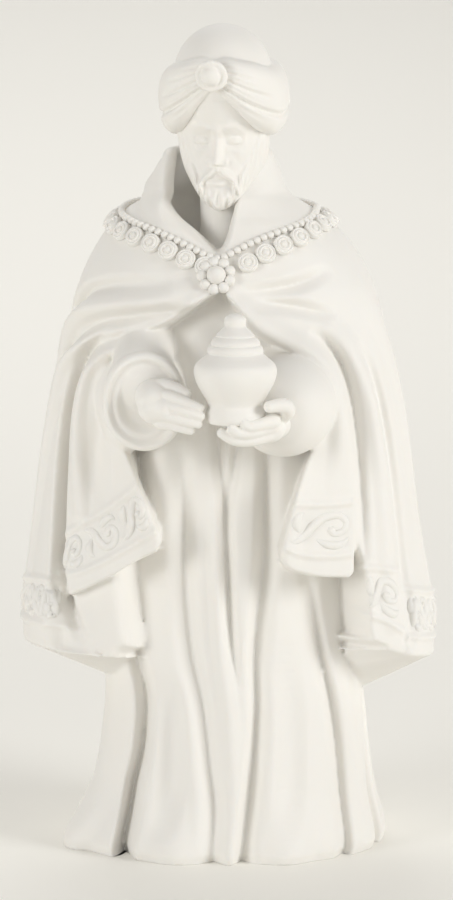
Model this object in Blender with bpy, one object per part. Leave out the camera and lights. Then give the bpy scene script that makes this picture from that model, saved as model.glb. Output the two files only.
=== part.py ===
"""Nativity wise man figurine: one closed casting that stands on the hem of its robe."""
import math

import bmesh
import bpy
import numpy as np

# Height of the figure in metres. Every other length is in parts, with PARTS of them to the height.
HEIGHT = 0.165
PARTS = 165.0
UNIT = HEIGHT / PARTS

# Fineness of the casting, in parts, rounds of softening, and the number of triangles left at the end.
GRAIN = 0.5
SOFTEN = 3
TRIANGLES = 9700

# Roundness of the plan of the clothes, as the power of a superellipse, and the girth used to measure
# along the cloth.
PLAN_POWER = 2.3
GIRTH = 33.0

# Robe: height, half width, depth to the front, depth to the back.
ROBE = [(-6, 31.5, 27.5, 26.0), (0, 32.0, 27.8, 26.0), (3, 32.0, 28.0, 26.5), (13, 28.5, 25.0, 24.5),
        (30, 26.3, 22.5, 22.5), (45, 25.5, 21.0, 21.5), (65, 24.0, 20.0, 20.5), (85, 22.5, 18.5, 19.5),
        (105, 20.0, 17.0, 17.5), (118, 16.0, 13.5, 14.0), (128, 10.0, 9.0, 9.0), (140, 7.0, 7.0, 7.0)]

# Cloak and collar: height, half width, depth to the front, depth to the back.
CLOAK = [(20, 41.0, 28.0, 32.0), (36, 41.5, 28.5, 32.8), (48, 41.3, 28.5, 32.5), (65, 38.3, 27.5, 31.0),
         (89, 35.0, 26.0, 28.5), (103, 32.2, 24.0, 26.0), (112, 30.0, 22.0, 23.5), (119.6, 26.5, 19.0, 20.0),
         (125.3, 22.2, 16.4, 17.0), (127.6, 19.4, 14.6, 15.2), (129.6, 16.4, 13.4, 13.8),
         (131.4, 14.2, 12.3, 12.8), (133.4, 13.5, 11.8, 12.2), (136, 12.5, 11.0, 11.4), (140, 10.6, 10.0, 10.6),
         (146, 10.0, 9.5, 10.0)]

# Sideways lean of the clothes: height, shift to the right.
LEAN = [(-6, 0.2), (0, 0.2), (13, 1.4), (30, 1.6), (48, 0.1), (100, 0.0), (119, -0.3), (126, -1.0),
        (133, -1.9), (140, -1.6), (146, -1.5)]

# Folds of the robe. Each is (width on the left hand, width on the right hand, creased, path), walking along
# the path and seen from outside; the path's rows are (angle from the front, height, lift).
ROBE_FOLDS = [
    (3.4, 3.4, True, [(-41, -4, -8.0), (-43, 4, -8.0), (-46, 13, -7.0), (-44.5, 22, -6.0), (-45.5, 33, -5.0),
                      (-50, 40, -3.0)]),
    (4.0, 4.0, False, [(-34, 36, 0.0), (-31, 27, -1.4), (-29, 12, -1.6), (-28, 4, 0.0)]),
    (3.6, 3.6, False, [(-23, 40, 0.0), (-19, 27, 0.9), (-14, 14, 1.0), (-8, 3, 0.6)]),
    (3.0, 4.2, True, [(-26, 84, 0.0), (-24, 68, -2.2), (-20, 46, -2.6), (-13, 22, -2.8), (-8, 10, -2.8),
                      (-5, -4, -2.6)]),
    (2.6, 2.6, False, [(-8, 74, 0.0), (-5, 55, 1.2), (-2.5, 30, 1.2), (1, 10, 1.0), (2, -4, 1.0)]),
    (2.2, 2.2, True, [(-8, 100, 0.0), (-6, 86, -2.0), (-2, 73, -2.2), (0, 60, -2.4), (1.5, 48, -2.0),
                      (3, 36, -0.6)]),
    (2.0, 2.0, True, [(8, 90, 0.0), (6, 82, -1.6), (2, 73, -1.8), (0.4, 66, -0.4)]),
    (4.4, 2.4, True, [(24, 92, 0.0), (22, 78, -3.0), (20, 60, -3.6), (16, 48, -3.8), (12, 36, -3.8),
                      (9, 22, -3.6), (6, 8, -3.6), (5, -4, -3.4)]),
    (4.0, 4.0, False, [(29, 44, 0.0), (27, 26, -1.2), (25, 12, -1.2), (24, 2, 0.0)]),
    (3.0, 2.6, True, [(42, 60, 0.0), (46, 47, -2.4), (48, 34, -2.8), (49, 16, -3.0), (47, -4, -3.4)]),
    (4.0, 4.0, False, [(56, 44, 0.4), (59, 32, 1.2), (61, 18, 1.2), (59, 4, 0.6)]),
    (3.0, 3.0, True, [(86, 40, -1.6), (80, 24, -2.4), (72, 8, -3.0), (69, -4, -3.2)]),
    (8.0, 8.0, False, [(-66, 26, 0.0), (-68, 13, 1.2), (-71, 3, 3.4), (-72, -4, 3.8)]),
    (6.0, 6.0, False, [(-22, 14, 0.0), (-22, 4, 1.2), (-22, -4, 1.4)]),
    (6.0, 6.0, False, [(26, 14, 0.0), (25, 4, 1.6), (25, -4, 1.8)]),
    (5.0, 5.0, False, [(-15, 108, 0.0), (-17, 98, 1.6), (-19, 84, 0.8), (-20, 72, 0.0)]),
    (5.0, 5.0, False, [(13, 72, 0.0), (12, 56, 1.0), (10, 36, 0.8), (14, 22, 0.0)]),
    (7.0, 6.0, False, [(-44, 94, 0.0), (-43, 85, 2.4), (-39, 76, 3.0), (-34, 66, 1.6), (-31, 54, 0.0)]),
]

# Hidden folds of the robe, behind: angle, depth at the hem.
ROBE_BACK_FOLDS = [(-92, 3.2), (-118, 2.6), (-141, 3.0), (-163, 2.4), (174, 3.0), (151, 2.6), (128, 3.2),
                   (98, 2.8)]

# Folds of the cloak, in the same terms.
CLOAK_FOLDS = [
    (3.2, 3.2, True, [(-27, 114.5, 0.0), (-38, 114, -1.6), (-58, 113.5, -2.8), (-74, 111, -3.3),
                      (-89, 105, -2.8), (-97, 96, -1.0)]),
    (3.6, 3.6, False, [(-12, 112.8, 0.5), (-33, 112.2, 1.8), (-55, 111, 2.2), (-70, 109, 2.2),
                       (-85, 103, 1.3), (-92, 92, 0.5)]),
    (2.6, 2.6, True, [(-18, 110.4, 0.0), (-29, 109.3, -2.2), (-54, 107.2, -3.1), (-68, 104, -3.3),
                      (-81, 98, -2.8), (-87, 88, -1.2)]),
    (3.4, 3.4, False, [(-36, 108, 0.5), (-59, 105, 1.8), (-71, 101, 2.3), (-77, 96, 2.1), (-80, 88, 1.8),
                       (-83, 76, 1.6), (-84, 64, 1.3), (-82, 52, 0.8)]),
    (2.6, 3.2, True, [(-17, 111, 0.0), (-28, 108.5, -1.3), (-45, 105, -2.9), (-56, 102.5, -3.9),
                      (-62, 99.5, -4.7), (-66, 95, -5.7), (-67.5, 88, -7.0), (-67, 78, -7.8),
                      (-65, 66, -7.8), (-62.5, 57, -6.8), (-59, 51, -5.7), (-55, 46.5, -3.4), (-51, 43.5, 0.0)]),
    (3.2, 2.6, False, [(-7, 112.4, 0.8), (-24, 109.6, 1.3), (-42, 106, 1.8), (-53, 102.6, 2.1),
                       (-60, 97.6, 2.3), (-61.5, 90, 2.3), (-60, 80, 2.3), (-57, 70, 1.6)]),
    (3.6, 3.6, False, [(-49, 97, 0.0), (-51, 88, -1.6), (-51, 78, -1.8), (-49, 71, 0.0)]),
    (3.4, 3.4, False, [(2, 112, 1.0), (14, 108, 1.6), (25, 105, 1.8), (36, 102, 2.1), (43, 98, 2.3),
                       (46, 92, 2.1), (46, 84, 1.3), (44, 76, 0.5)]),
    (2.6, 2.6, True, [(4, 113.3, 0.0), (18, 113.5, -2.0), (35, 114.5, -2.6), (56, 117.4, 0.0)]),
    (2.6, 2.6, True, [(10, 111.8, 0.0), (22, 111, -2.4), (36, 110, -2.5), (51, 108, 0.0)]),
    (2.6, 2.6, True, [(37, 105.5, 0.0), (43, 103.6, -1.8), (48, 100, -2.6), (51, 94, -2.8), (52.5, 84, -2.8),
                      (52.5, 74, -2.4), (52, 65, -1.6), (51.5, 57, 0.0)]),
    (6.0, 0.9, False, [(68, 60, 0.0), (67, 54, 0.6), (65.5, 46, 1.0), (65, 38, 1.0)]),
    (3.4, 3.4, False, [(48, 106, 0.4), (54, 102, 1.4), (59, 94, 1.6), (61, 84, 1.6), (62, 72, 1.6),
                       (61, 60, 1.4), (59, 48, 0.8)]),
    (2.8, 2.8, True, [(58, 103, 0.0), (63, 97, -1.6), (66, 89, -2.2), (68, 78, -2.0), (68, 66, -1.6),
                      (67, 56, -1.6), (66, 44, -1.4)]),
    (5.0, 5.0, False, [(70, 112, 0.4), (80, 100, 1.0), (84, 84, 1.2), (86, 66, 1.0), (86, 48, 0.8)]),
    (3.0, 3.0, True, [(-90, 96, 0.0), (-94, 84, -1.2), (-96, 66, -1.6), (-97, 46, -1.6), (-97, 38, -1.2)]),
    (3.0, 3.0, True, [(96, 108, 0.0), (101, 92, -1.4), (103, 70, -1.8), (104, 48, -1.8), (104, 36, -1.4)]),
    (3.4, 3.4, False, [(-33, 80, 0.0), (-32, 74, 0.8), (-29, 68, 1.0), (-26, 62, 0.8)]),
    (3.4, 3.4, False, [(31, 82, 0.0), (28, 74, 1.0), (25, 64, 1.2), (24, 58, 1.0)]),
    (3.6, 3.6, False, [(-110, 132.4, 0.4), (-82, 132.2, 1.0), (-62, 130.6, 1.2), (-42, 127.6, 0.8),
                       (-26, 124.6, 0.0)]),
    (2.4, 2.4, True, [(-104, 129.6, -0.4), (-80, 129.2, -0.9), (-58, 127.2, -0.8), (-38, 124.8, 0.0)]),
]

# Hidden folds of the cloak, behind: angle, height where it starts, lift.
CLOAK_BACK_FOLDS = [(-116, 112, 1.5), (-128, 104, -1.9), (-142, 116, 1.7), (-155, 102, -2.0), (-168, 118, 1.6),
                    (179, 104, -2.0), (166, 118, 1.7), (153, 102, -1.9), (140, 114, 1.6), (127, 104, -1.9),
                    (115, 112, 1.4)]

# Edges of the cloak as rows of (angle, height): the front edges with the flaps' hems, the deeper layer seen
# below the flaps, and its hem.
LEFT_FRONT_EDGE = [(4, 124), (3, 117), (0, 114), (-6, 112.6), (-14, 110.8), (-26, 107.6), (-40, 104),
                   (-48, 100.6), (-51.5, 96), (-52, 91), (-49, 87), (-44, 84.8), (-39.5, 82.6), (-35.5, 78.5),
                   (-32, 74), (-27.5, 69), (-24.6, 65.6), (-24.4, 64.2)]
LEFT_FLAP_HEM = [(-26.4, 62.4), (-40, 57.8), (-54, 53), (-60, 51.2)]
LEFT_FLAP_BACK = [(-63, 52.5), (-65.5, 57), (-67, 64)]
LEFT_LAYER_EDGE = [(-76, 104), (-65, 95), (-58, 84), (-46, 75), (-39, 64), (-36, 52), (-34, 44)]
LEFT_LAYER_HEM = [(-36, 42.4), (-43, 39.8), (-54, 41), (-79, 40.8), (-110, 40), (-145, 39), (-205, 38.5)]
RIGHT_FRONT_EDGE = [(-4, 124), (-4, 116), (-1, 112.8), (5, 109.8), (13, 106), (22, 103.2), (30, 100.8),
                    (36, 97.4), (38.5, 93), (38, 88.5), (35.5, 84.8), (32, 81.6), (28.6, 77), (24, 70),
                    (20.6, 63.6), (20.4, 61.6)]
RIGHT_FLAP_HEM = [(22, 60), (26, 58.4), (34, 57), (46.5, 56.2)]
RIGHT_FLAP_BACK = [(49, 57.6), (50, 64), (50.5, 72), (51.5, 80), (53, 90), (56, 97)]
RIGHT_LAYER_EDGE = [(44, 106), (42, 98), (43, 90), (45, 78), (47.5, 66), (50, 58), (50.5, 52), (50, 46)]
RIGHT_LAYER_HEM = [(51, 43.8), (54, 42.8), (60.5, 41), (68, 39.4), (87, 37.5), (120, 38), (150, 38.5),
                   (205, 38.5)]

# Corners that close those outlines round the back, past the middle of it and above the collar; the deeper
# layer's is mirrored.
LEFT_CORNERS = [(-205, 66), (-205, 160), (4, 160)]
RIGHT_CORNERS = [(60, 100), (205, 100), (205, 160), (-5, 160)]
LAYER_CORNER = (205, 104)

# How far the deeper layer lies behind the flaps, and where it comes level with the rest of the cloak.
LAYER_SET = 3.4
LEFT_LEVEL = (-60.0, -68.0)
RIGHT_LEVEL = (45.0, 50.0)

# Where the folds' lift turns from straight ahead to outwards, as angles in radians; how far the surface under
# a cloth is met behind its edge, and over what distance.
FRONT_UNTIL = 0.7
SIDE_FROM = 1.9
TUCK_MOST = 9.0
TUCK_REACH = 15.0

# Where the cast underside starts at each side, and the part of the deeper layer that has its own border.
UNDER_FROM = {-1: (44, 66), 1: (51, 80)}
BORDER_FROM = {-1: (48, 54), 1: (47, 50)}
BORDER_BELOW = 60.0

# Rolls of the cloth: the flaps' edges, the deeper layer's hem and its front edge. Then the slope of the cast
# underside, how much it is set in, and the least share of it that is filled.
EDGE_ROLL = 1.1
HEM_ROLL = 1.0
LAYER_ROLL = {-1: 3.6, 1: 1.3}
UNDER_SLOPE = 2.1
UNDER_SET = 1.2
UNDER_LEAST = 0.12

# Cords along the embroidered borders: lift, width, and the lines they follow (angle, height).
CORD_LIFT = 0.75
CORD_WIDTH = 1.05
BORDER_CORDS = [
    [(-66, 63), (-58, 66.2), (-49, 69.6), (-41, 73), (-34, 76.4)],
    [(-63, 56.4), (-55, 57.6), (-46, 60.4), (-36, 64), (-27, 67.4)],
    [(25.5, 72.6), (32, 72), (41, 71.8), (52, 72)],
    [(23.5, 63.8), (30, 62.2), (40, 61.6), (50, 61.8)],
    [(-59, 54), (-66, 55), (-76, 54.6), (-89, 53.6), (-120, 52), (-150, 51), (-180, 50.4)],
    [(-38, 42.4), (-46, 43.4), (-54, 45.2), (-66, 46.2), (-79, 46), (-120, 44.4), (-150, 43.4), (-180, 43)],
    [(51, 58.6), (54, 58.5), (58, 58.2), (64, 57.4)],
    [(50.5, 49.4), (54, 48.7), (58, 47.6), (63, 45.4)],
    [(66.5, 53.4), (74, 52.2), (84, 51), (100, 50.4), (130, 50), (180, 50.4)],
    [(65.5, 43.8), (74, 42.8), (84, 41.8), (100, 42), (150, 42.8), (180, 43)],
]

# How low the robe's surface runs below the ground, where the flat underside is cut. Then the shares of the
# way over the clothes at which the hollow's floor, its wall, the rim and the outside end.
RUN_BELOW = -4.0
WAY_ENDS = [0.0, 0.02, 0.12, 0.15, 0.985, 1.0]

# Collar: wall, the lowest point of its hollow's floor, then the floor's outer edge and the collar's top edge
# as (angle, height). The hollow inside is (height, radius).
COLLAR_WALL = 3.0
COLLAR_LOW = 117.0
COLLAR_FLOOR = [(-180, 132), (-110, 132), (-85, 131), (-68, 128.5), (-54, 124.5), (-40, 120.6), (-26, 118.4),
                (-12, 118), (20, 118), (34, 120.6), (50, 125), (68, 129.5), (90, 132), (180, 132)]
COLLAR_TOP = [(-180, 140.2), (-110, 140.2), (-78, 139.8), (-65, 138.6), (-56, 136), (-51, 132.6), (-46, 130),
              (-38, 127.6), (-25, 125.2), (-12, 122.4), (-4, 121.2), (3, 123.6), (11, 128), (23, 132.8), (38, 136),
              (55, 138.6), (75, 140), (110, 140.2), (180, 140.2)]
HOLLOW = [(116, 8.5), (121, 10.5), (126, 12.0), (132, 12.8), (146, 12.8)]

# Throat: height, shift forward, half width, half depth.
THROAT = [(106, 2.0, 10.4, 10.0), (114, 2.6, 9.2, 9.8), (119, 2.6, 6.8, 9.0), (123, 2.8, 5.4, 7.2),
          (128, 3.8, 5.2, 6.0), (140, 6.0, 5.8, 6.4)]

# Necklace: the upper string, its radius and how far its middle lies outside the cloak, then the string of
# discs. The lines are (angle, height).
STRING = [(-180, 128.2), (-130, 128.8), (-96, 128), (-70, 126.8), (-46, 125), (-29, 123), (-12, 120.4),
          (-3, 119.6), (4, 120.6), (21, 123), (42, 125), (77, 127.6), (96, 127.8), (130, 128.6), (180, 128.2)]
STRING_RADIUS = 0.9
STRING_OUT = 0.35
DISC_LINE = [(-6, 117.6), (-19, 119), (-37, 121.6), (-60, 124), (-93, 126), (-130, 126.2), (-180, 126),
             (-230, 126.2), (-267, 126), (-292, 125.6), (-317, 123), (-340, 120), (-352, 117.8)]
DISC_SPACING = 3.95
DISC_RADIUS = 1.95
DISC_THICK = 1.1
DISC_OUT = 0.5
PENDANT = (-5.0, 116.3)
BOSS_RADIUS = 1.9
PETALS = 9
PETAL_RADIUS = 1.12
PETAL_RING = 2.8

# Head: the centre of the skull, its nod and its turn in degrees. Its own rows are in parts from that centre.
HEAD_AT = (-0.5, -7.0, 148.6)
HEAD_NOD = 14.0
HEAD_TURN = -10.0
HEAD = [(-18.8, 1.0, 7.4, 0.4), (-18.2, 2.6, 8.8, 0.6), (-16.9, 4.6, 9.8, 0.9), (-15, 6.2, 10.2, 1.3),
        (-12, 7.5, 10.1, 2.4), (-9, 8.3, 9.5, 4.4), (-6, 8.7, 8.9, 7.0), (-3, 8.8, 8.9, 8.8), (0, 8.6, 9.2, 9.8),
        (4, 8.5, 9.6, 10.2), (8, 8.0, 9.0, 9.4), (11, 6.2, 6.8, 7.2), (13, 3.0, 3.4, 4.0)]
FACE_FOLDS = [
    (2.2, 2.2, False, [(-36, -2.6, 0.0), (-22, -1.6, 0.7), (-8, -2.0, 0.5)]),
    (2.2, 2.2, False, [(36, -2.6, 0.0), (22, -1.6, 0.7), (8, -2.0, 0.5)]),
    (2.0, 2.0, False, [(-32, -4.2, -0.4), (-22, -4.0, -1.3), (-12, -3.8, -1.3)]),
    (2.0, 2.0, False, [(32, -4.2, -0.4), (22, -4.0, -1.3), (12, -3.8, -1.3)]),
    (1.5, 1.5, False, [(0, -1.4, 0.3), (0, -3.6, 0.9), (0, -6.4, 2.0), (0, -8.0, 2.7), (0, -8.9, 0.6)]),
    (1.2, 1.2, False, [(-9, -8.2, 1.0), (0, -8.4, 0.7), (9, -8.2, 1.0)]),
    (1.1, 1.1, True, [(-14, -11.6, -0.4), (0, -11.0, -0.9), (14, -11.6, -0.4)]),
]
# Moustache and beard: rows of locks as (angle at the top, height at the top, angle at the tip, height at the
# tip), mirrored to the other side where the angle isn't nought.
BEARD_LOCKS = [(2, -9.6, 24, -12.8), (0, -12.6, 2, -18.2), (13, -12.8, 10, -17.8), (27, -12.0, 20, -17.0),
               (42, -9.8, 32, -15.8), (58, -6.6, 46, -13.8)]
LOCK_LIFT = 0.8
LOCK_WIDTH = 1.5

# Turban: the cap's centre, half width, half depth and height; then the wrap as rows of (angle from the front,
# middle height, half height, thickness), on a core of its own half width and depth.
CAP = (0.0, 0.4, 6.3)
CAP_SIZE = (9.8, 10.2, 10.5)
WRAP_CORE = (9.2, 8.8, 10.2)
WRAP = [(-180, 2.2, 6.4, 3.4), (-120, 1.6, 6.7, 3.8), (-80, 2.0, 7.0, 3.6), (-55, 3.9, 6.9, 3.5),
        (-35, 6.0, 5.9, 3.3), (-17, 8.2, 4.4, 2.8), (0, 9.3, 3.0, 2.4), (17, 8.2, 4.4, 2.8), (35, 6.0, 5.9, 3.3),
        (55, 3.9, 6.9, 3.5), (80, 2.0, 7.0, 3.6), (120, 1.6, 6.7, 3.8), (180, 2.2, 6.4, 3.4)]
WRAP_GROOVES = [(-0.36, 0.9, 170), (0.1, 0.55, 66), (0.46, 0.45, 50)]
KNOT_AT = (0.0, -12.0, 10.2)
KNOT_SIZE = (2.5, 1.6, 2.7)

# Sleeves: path of the arm and rows of (share of the path, radius), the left one turned in at its mouth and
# with the upper sleeve, rounded limbs like those of the hands, coming down to it.
LEFT_ARM = [(-12.0, -3.0, 93.0), (-15.0, -13.0, 93.6), (-16.2, -24.0, 93.6), (-15.9, -33.0, 93.2)]
UPPER_SLEEVE = [
    ([(-15.6, -7.0, 103.6), (-16.0, -14.0, 102.2), (-16.3, -21.0, 99.4), (-16.2, -28.0, 96.6)],
     [5.6, 5.8, 6.0, 6.6]),
    ([(-17.0, -6.0, 100.0), (-19.6, -13.0, 96.5), (-20.2, -18.5, 91.0), (-19.6, -20.0, 86.0)],
     [5.6, 6.0, 5.8, 4.6]),
]
LEFT_SLEEVE = [(0.0, 0.0), (0.02, 5.6), (0.3, 7.4), (0.6, 8.2), (0.85, 8.7), (0.96, 8.95), (1.01, 8.8),
               (1.03, 8.1), (1.015, 7.5), (0.998, 7.1), (0.995, 6.7), (1.005, 6.2), (1.0, 5.7), (0.985, 5.1),
               (0.965, 4.4), (0.955, 3.2), (0.95, 0.0)]
MOUTH_STRETCH = 0.085
RIGHT_ARM = [(8.5, -3.0, 95.4), (11.0, -12.0, 94.0), (11.8, -20.0, 92.0), (10.8, -26.5, 90.9)]
RIGHT_SLEEVE = [(0.0, 0.0), (0.02, 6.5), (0.3, 8.4), (0.6, 9.5), (0.85, 10.0), (1.0, 9.7), (1.12, 8.4),
                (1.24, 6.0), (1.3, 3.0), (1.32, 0.0)]

# Hands, as rows of rounded limbs: a path and the radius at each of its points.
LEFT_HAND = [
    ([(-14.8, -25.0, 94.4), (-14.2, -33.0, 94.4), (-13.8, -35.2, 94.0)], [4.0, 3.7, 3.5]),
    ([(-13.8, -35.2, 92.6), (-12.0, -36.6, 92.4)], [3.5, 2.9]),
    ([(-12.8, -36.4, 94.9), (-10.8, -37.6, 94.9), (-8.0, -38.6, 94.0), (-5.0, -39.2, 92.9)],
     [1.3, 1.12, 1.05, 0.85]),
    ([(-13.0, -37.2, 93.1), (-10.8, -38.3, 93.0), (-7.6, -39.3, 92.2), (-4.9, -39.7, 91.3)],
     [1.3, 1.12, 1.05, 0.85]),
    ([(-13.0, -37.2, 91.3), (-10.8, -38.2, 91.1), (-7.8, -39.1, 90.4), (-5.4, -39.5, 89.8)],
     [1.3, 1.12, 1.05, 0.85]),
    ([(-12.8, -36.4, 89.6), (-10.8, -37.4, 89.4), (-8.6, -38.1, 88.8), (-6.8, -38.5, 88.4)],
     [1.3, 1.1, 0.95, 0.8]),
    ([(-14.0, -34.2, 95.8), (-12.0, -35.2, 96.7), (-9.6, -36.4, 96.3), (-7.6, -37.4, 95.4)],
     [1.8, 1.45, 1.2, 1.0]),
]
RIGHT_HAND = [
    ([(12.0, -27.0, 90.4), (9.8, -32.0, 89.4), (7.0, -35.0, 88.6)], [3.8, 3.4, 3.0]),
    ([(8.6, -35.0, 88.4), (4.6, -36.4, 87.9), (1.0, -36.4, 88.2)], [2.8, 2.7, 2.2]),
    ([(9.2, -35.5, 88.0), (5.5, -38.5, 86.9), (1.8, -40.0, 86.9), (-0.8, -40.2, 88.2)], [1.7, 1.5, 1.35, 1.1]),
    ([(8.8, -37.0, 89.2), (5.2, -39.9, 88.4), (2.6, -41.1, 88.3), (1.0, -41.4, 89.2)], [1.6, 1.35, 1.2, 1.0]),
    ([(9.0, -38.0, 90.2), (6.2, -40.3, 89.8), (4.4, -41.3, 89.6), (3.4, -41.5, 90.3)], [1.5, 1.25, 1.1, 0.95]),
    ([(9.6, -33.5, 90.5), (11.6, -36.5, 92.0), (10.8, -39.2, 93.4), (8.2, -40.8, 93.3)], [2.0, 1.7, 1.45, 1.15]),
]

# Jar: its axis and its turned profile as (height, radius), from the foot to the knob.
JAR_AXIS = (1.7, -36.5)
JAR = [(89.6, 0.0), (89.6, 4.5), (89.8, 5.3), (90.6, 5.75), (91.8, 5.7), (92.6, 5.4), (93.3, 5.3), (94.2, 5.7),
       (95.3, 6.35), (96.6, 7.1), (98.0, 7.7), (99.3, 8.0), (100.3, 7.95), (101.1, 7.6), (101.8, 6.9),
       (102.4, 6.15), (102.9, 5.6), (103.15, 5.35), (103.5, 5.4), (104.0, 5.35), (104.5, 5.1), (104.8, 4.8),
       (105.1, 4.8), (105.6, 4.6), (106.1, 4.15), (106.4, 3.75), (106.7, 3.7), (107.2, 3.25), (107.8, 2.65),
       (108.3, 2.15), (108.7, 2.05), (109.1, 2.1), (109.6, 2.1), (110.2, 1.8), (110.7, 1.1), (110.9, 0.0)]


def smooth_path(rows, steps=10):
    """Points on a smooth curve through the given rows."""
    p = np.asarray(rows, float)
    p = np.vstack([2 * p[0] - p[1], p, 2 * p[-1] - p[-2]])
    t = np.linspace(0, 1, steps, endpoint=False)[:, None]
    out = []
    for a, b, c, d in zip(p, p[1:], p[2:], p[3:]):
        out.append(0.5 * (2 * b + (c - a) * t + (2 * a - 5 * b + 4 * c - d) * t ** 2
                          + (3 * b - a - 3 * c + d) * t ** 3))
    out.append(p[-2][None])
    return np.vstack(out)


def read_rows(rows, at):
    """The table's other columns, read off smoothly where its first column is `at`."""
    t = smooth_path(rows)
    return [np.interp(at, t[:, 0], t[:, k]) for k in range(1, t.shape[1])]


def smoothstep(low, high, value):
    """A share from 0 at the low value to 1 at the high one, with soft ends."""
    t = np.clip((value - low) / (high - low), 0, 1)
    return t * t * (3 - 2 * t)


def oval(half_width, front, back, angle):
    """Radius of a rounded plan with its own depth to the front and to the back."""
    s, c = np.abs(np.sin(angle)), np.cos(angle)
    depth = np.where(c > 0, front, back)
    return ((s / half_width) ** PLAN_POWER + (np.abs(c) / depth) ** PLAN_POWER) ** (-1 / PLAN_POWER)


def plan_of(rows):
    """A function that gives the smooth radius of a body at an angle and a height."""
    return lambda angle, z: oval(*read_rows(rows, z), angle)


def on_plan(radius, angle, z):
    """Points at a radius, an angle from the front and a height."""
    return np.stack([radius * np.sin(angle), -radius * np.cos(angle), z], -1)


def stroke(lift, points, base, fold):
    """Adds one fold's lift at the points, measured along the smooth base."""
    left, right, creased, rows = fold
    path = smooth_path(rows)
    spots = on_plan(base(np.radians(path[:, 0]), path[:, 1]), np.radians(path[:, 0]), path[:, 1])
    reach = max(left, right)
    near = np.all((points > spots.min(0) - reach) & (points < spots.max(0) + reach), axis=1)
    index = np.nonzero(near)[0]
    if len(index) == 0:
        return
    p = points[index]
    away = (p ** 2).sum(1)[:, None] + (spots ** 2).sum(1)[None] - 2 * p @ spots.T
    k = np.argmin(away, axis=1)
    along = np.gradient(spots, axis=0)
    pace = np.linalg.norm(along, axis=1)
    along = along / pace[:, None]
    off = p - spots[k]
    slide = np.clip((off * along[k]).sum(1), -0.6 * pace[k], 0.6 * pace[k])
    off = off - along[k] * slide[:, None]
    out = np.stack([spots[:, 0], spots[:, 1], 0 * spots[:, 0]], 1)
    out = out / (np.linalg.norm(out, axis=1)[:, None] + 1e-9)
    hand = (off * np.cross(along, out)[k]).sum(1)
    x = np.clip(np.linalg.norm(off, axis=1) / np.where(hand < 0, left, right), 0, 1)
    shape = (1 - x ** (1.25 if creased else 2.0)) ** 2
    lift[index] += shape * path[k, 2]


def lifts(base, folds, angle, z):
    """How far all the folds together raise or press the base at each point."""
    points = on_plan(base(angle, z), angle, z)
    lift = np.zeros(len(angle))
    for fold in folds:
        stroke(lift, points, base, fold)
    return lift


def carved(base, lift, angle, z):
    """Points of the base moved by their lift: straight to the front there, and outwards round the sides."""
    spots = on_plan(base(angle, z), angle, z)
    turned = angle * smoothstep(FRONT_UNTIL, SIDE_FROM, np.abs(angle))
    return spots + on_plan(lift, turned, 0 * z)


def inside(angle, z, outline):
    """How deep each point lies within a closed outline on the cloth, negative outside it, and how far the
    nearest edge faces sideways there: to larger angles above nought, to smaller ones below it."""
    u = angle * GIRTH
    corners = np.array([(math.radians(a) * GIRTH, h) for a, h in outline])
    best = np.full(len(u), 1e9)
    sideways = np.zeros(len(u))
    odd = np.zeros(len(u), bool)
    for (ax, az), (bx, bz) in zip(corners, np.roll(corners, -1, axis=0)):
        dx, dz = bx - ax, bz - az
        t = np.clip(((u - ax) * dx + (z - az) * dz) / (dx * dx + dz * dz + 1e-12), 0, 1)
        away = (u - ax - t * dx) ** 2 + (z - az - t * dz) ** 2
        sideways = np.where(away < best, np.sign(u - ax - t * dx) * abs(dz) / math.hypot(dx, dz), sideways)
        best = np.minimum(best, away)
        if az != bz:
            odd ^= ((az > z) != (bz > z)) & (u < ax + (z - az) * dx / dz)
    return np.where(odd, 1, -1) * np.sqrt(best), np.where(odd, -sideways, sideways)


def rolled(depth, roll):
    """Share of the cloth's height near its rounded edge."""
    return np.sqrt(1 - (1 - np.clip(depth / roll, 0, 1)) ** 2)[:, None]


def tucked(side, angle, depth, faces, drop):
    """The angle at which the surface under a cloth is met, so that its front edge drops straight back."""
    tuck = np.clip(drop * np.tan(np.minimum(np.abs(angle), 1.2)), 0, TUCK_MOST) * np.maximum(-side * faces, 0)
    return angle + side * tuck * np.clip(1 + depth / TUCK_REACH, 0, 1) / GIRTH


def outline_of(*lines, corners=()):
    """A closed outline of smooth lines, one after another, and plain corners."""
    rows = []
    for line in lines:
        rows += [tuple(r) for r in smooth_path(line, 6)]
    return rows + list(corners)


def back_folds():
    """Long plain folds down the back of the robe and of the cloak."""
    robe = [(3.4, 3.4, True, [(a, 44, 0.0), (a, 24, -0.6 * d), (a, 8, -d), (a, -5, -d)])
            for a, d in ROBE_BACK_FOLDS]
    cloak = [(4.6, 4.6, lift < 0, [(a, top, 0.0), (a, top - 14, 0.6 * lift), (a, 66, lift), (a, 36, lift)])
             for a, top, lift in CLOAK_BACK_FOLDS]
    return robe, cloak


def robe_spots(angle, z):
    base = plan_of(ROBE)
    return carved(base, lifts(base, ROBE_FOLDS + back_folds()[0], angle, z), angle, z)


def cloak_lift(angle, z):
    """Lift of the cloak's folds, and of the cords along its borders."""
    base = plan_of(CLOAK)
    trims = [(CORD_WIDTH, CORD_WIDTH, False, [(a, h, CORD_LIFT) for a, h in line]) for line in BORDER_CORDS]
    return lifts(base, CLOAK_FOLDS + back_folds()[1], angle, z), lifts(base, trims, angle, z)


def behind(degrees):
    """How far the deeper layer lies behind the cloak's flaps."""
    low, high = np.where(degrees < 0, LEFT_LEVEL[0], RIGHT_LEVEL[0]), np.where(degrees < 0, *[
        LEFT_LEVEL[1], RIGHT_LEVEL[1]])
    return LAYER_SET * (1 - smoothstep(low, high, degrees))


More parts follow.
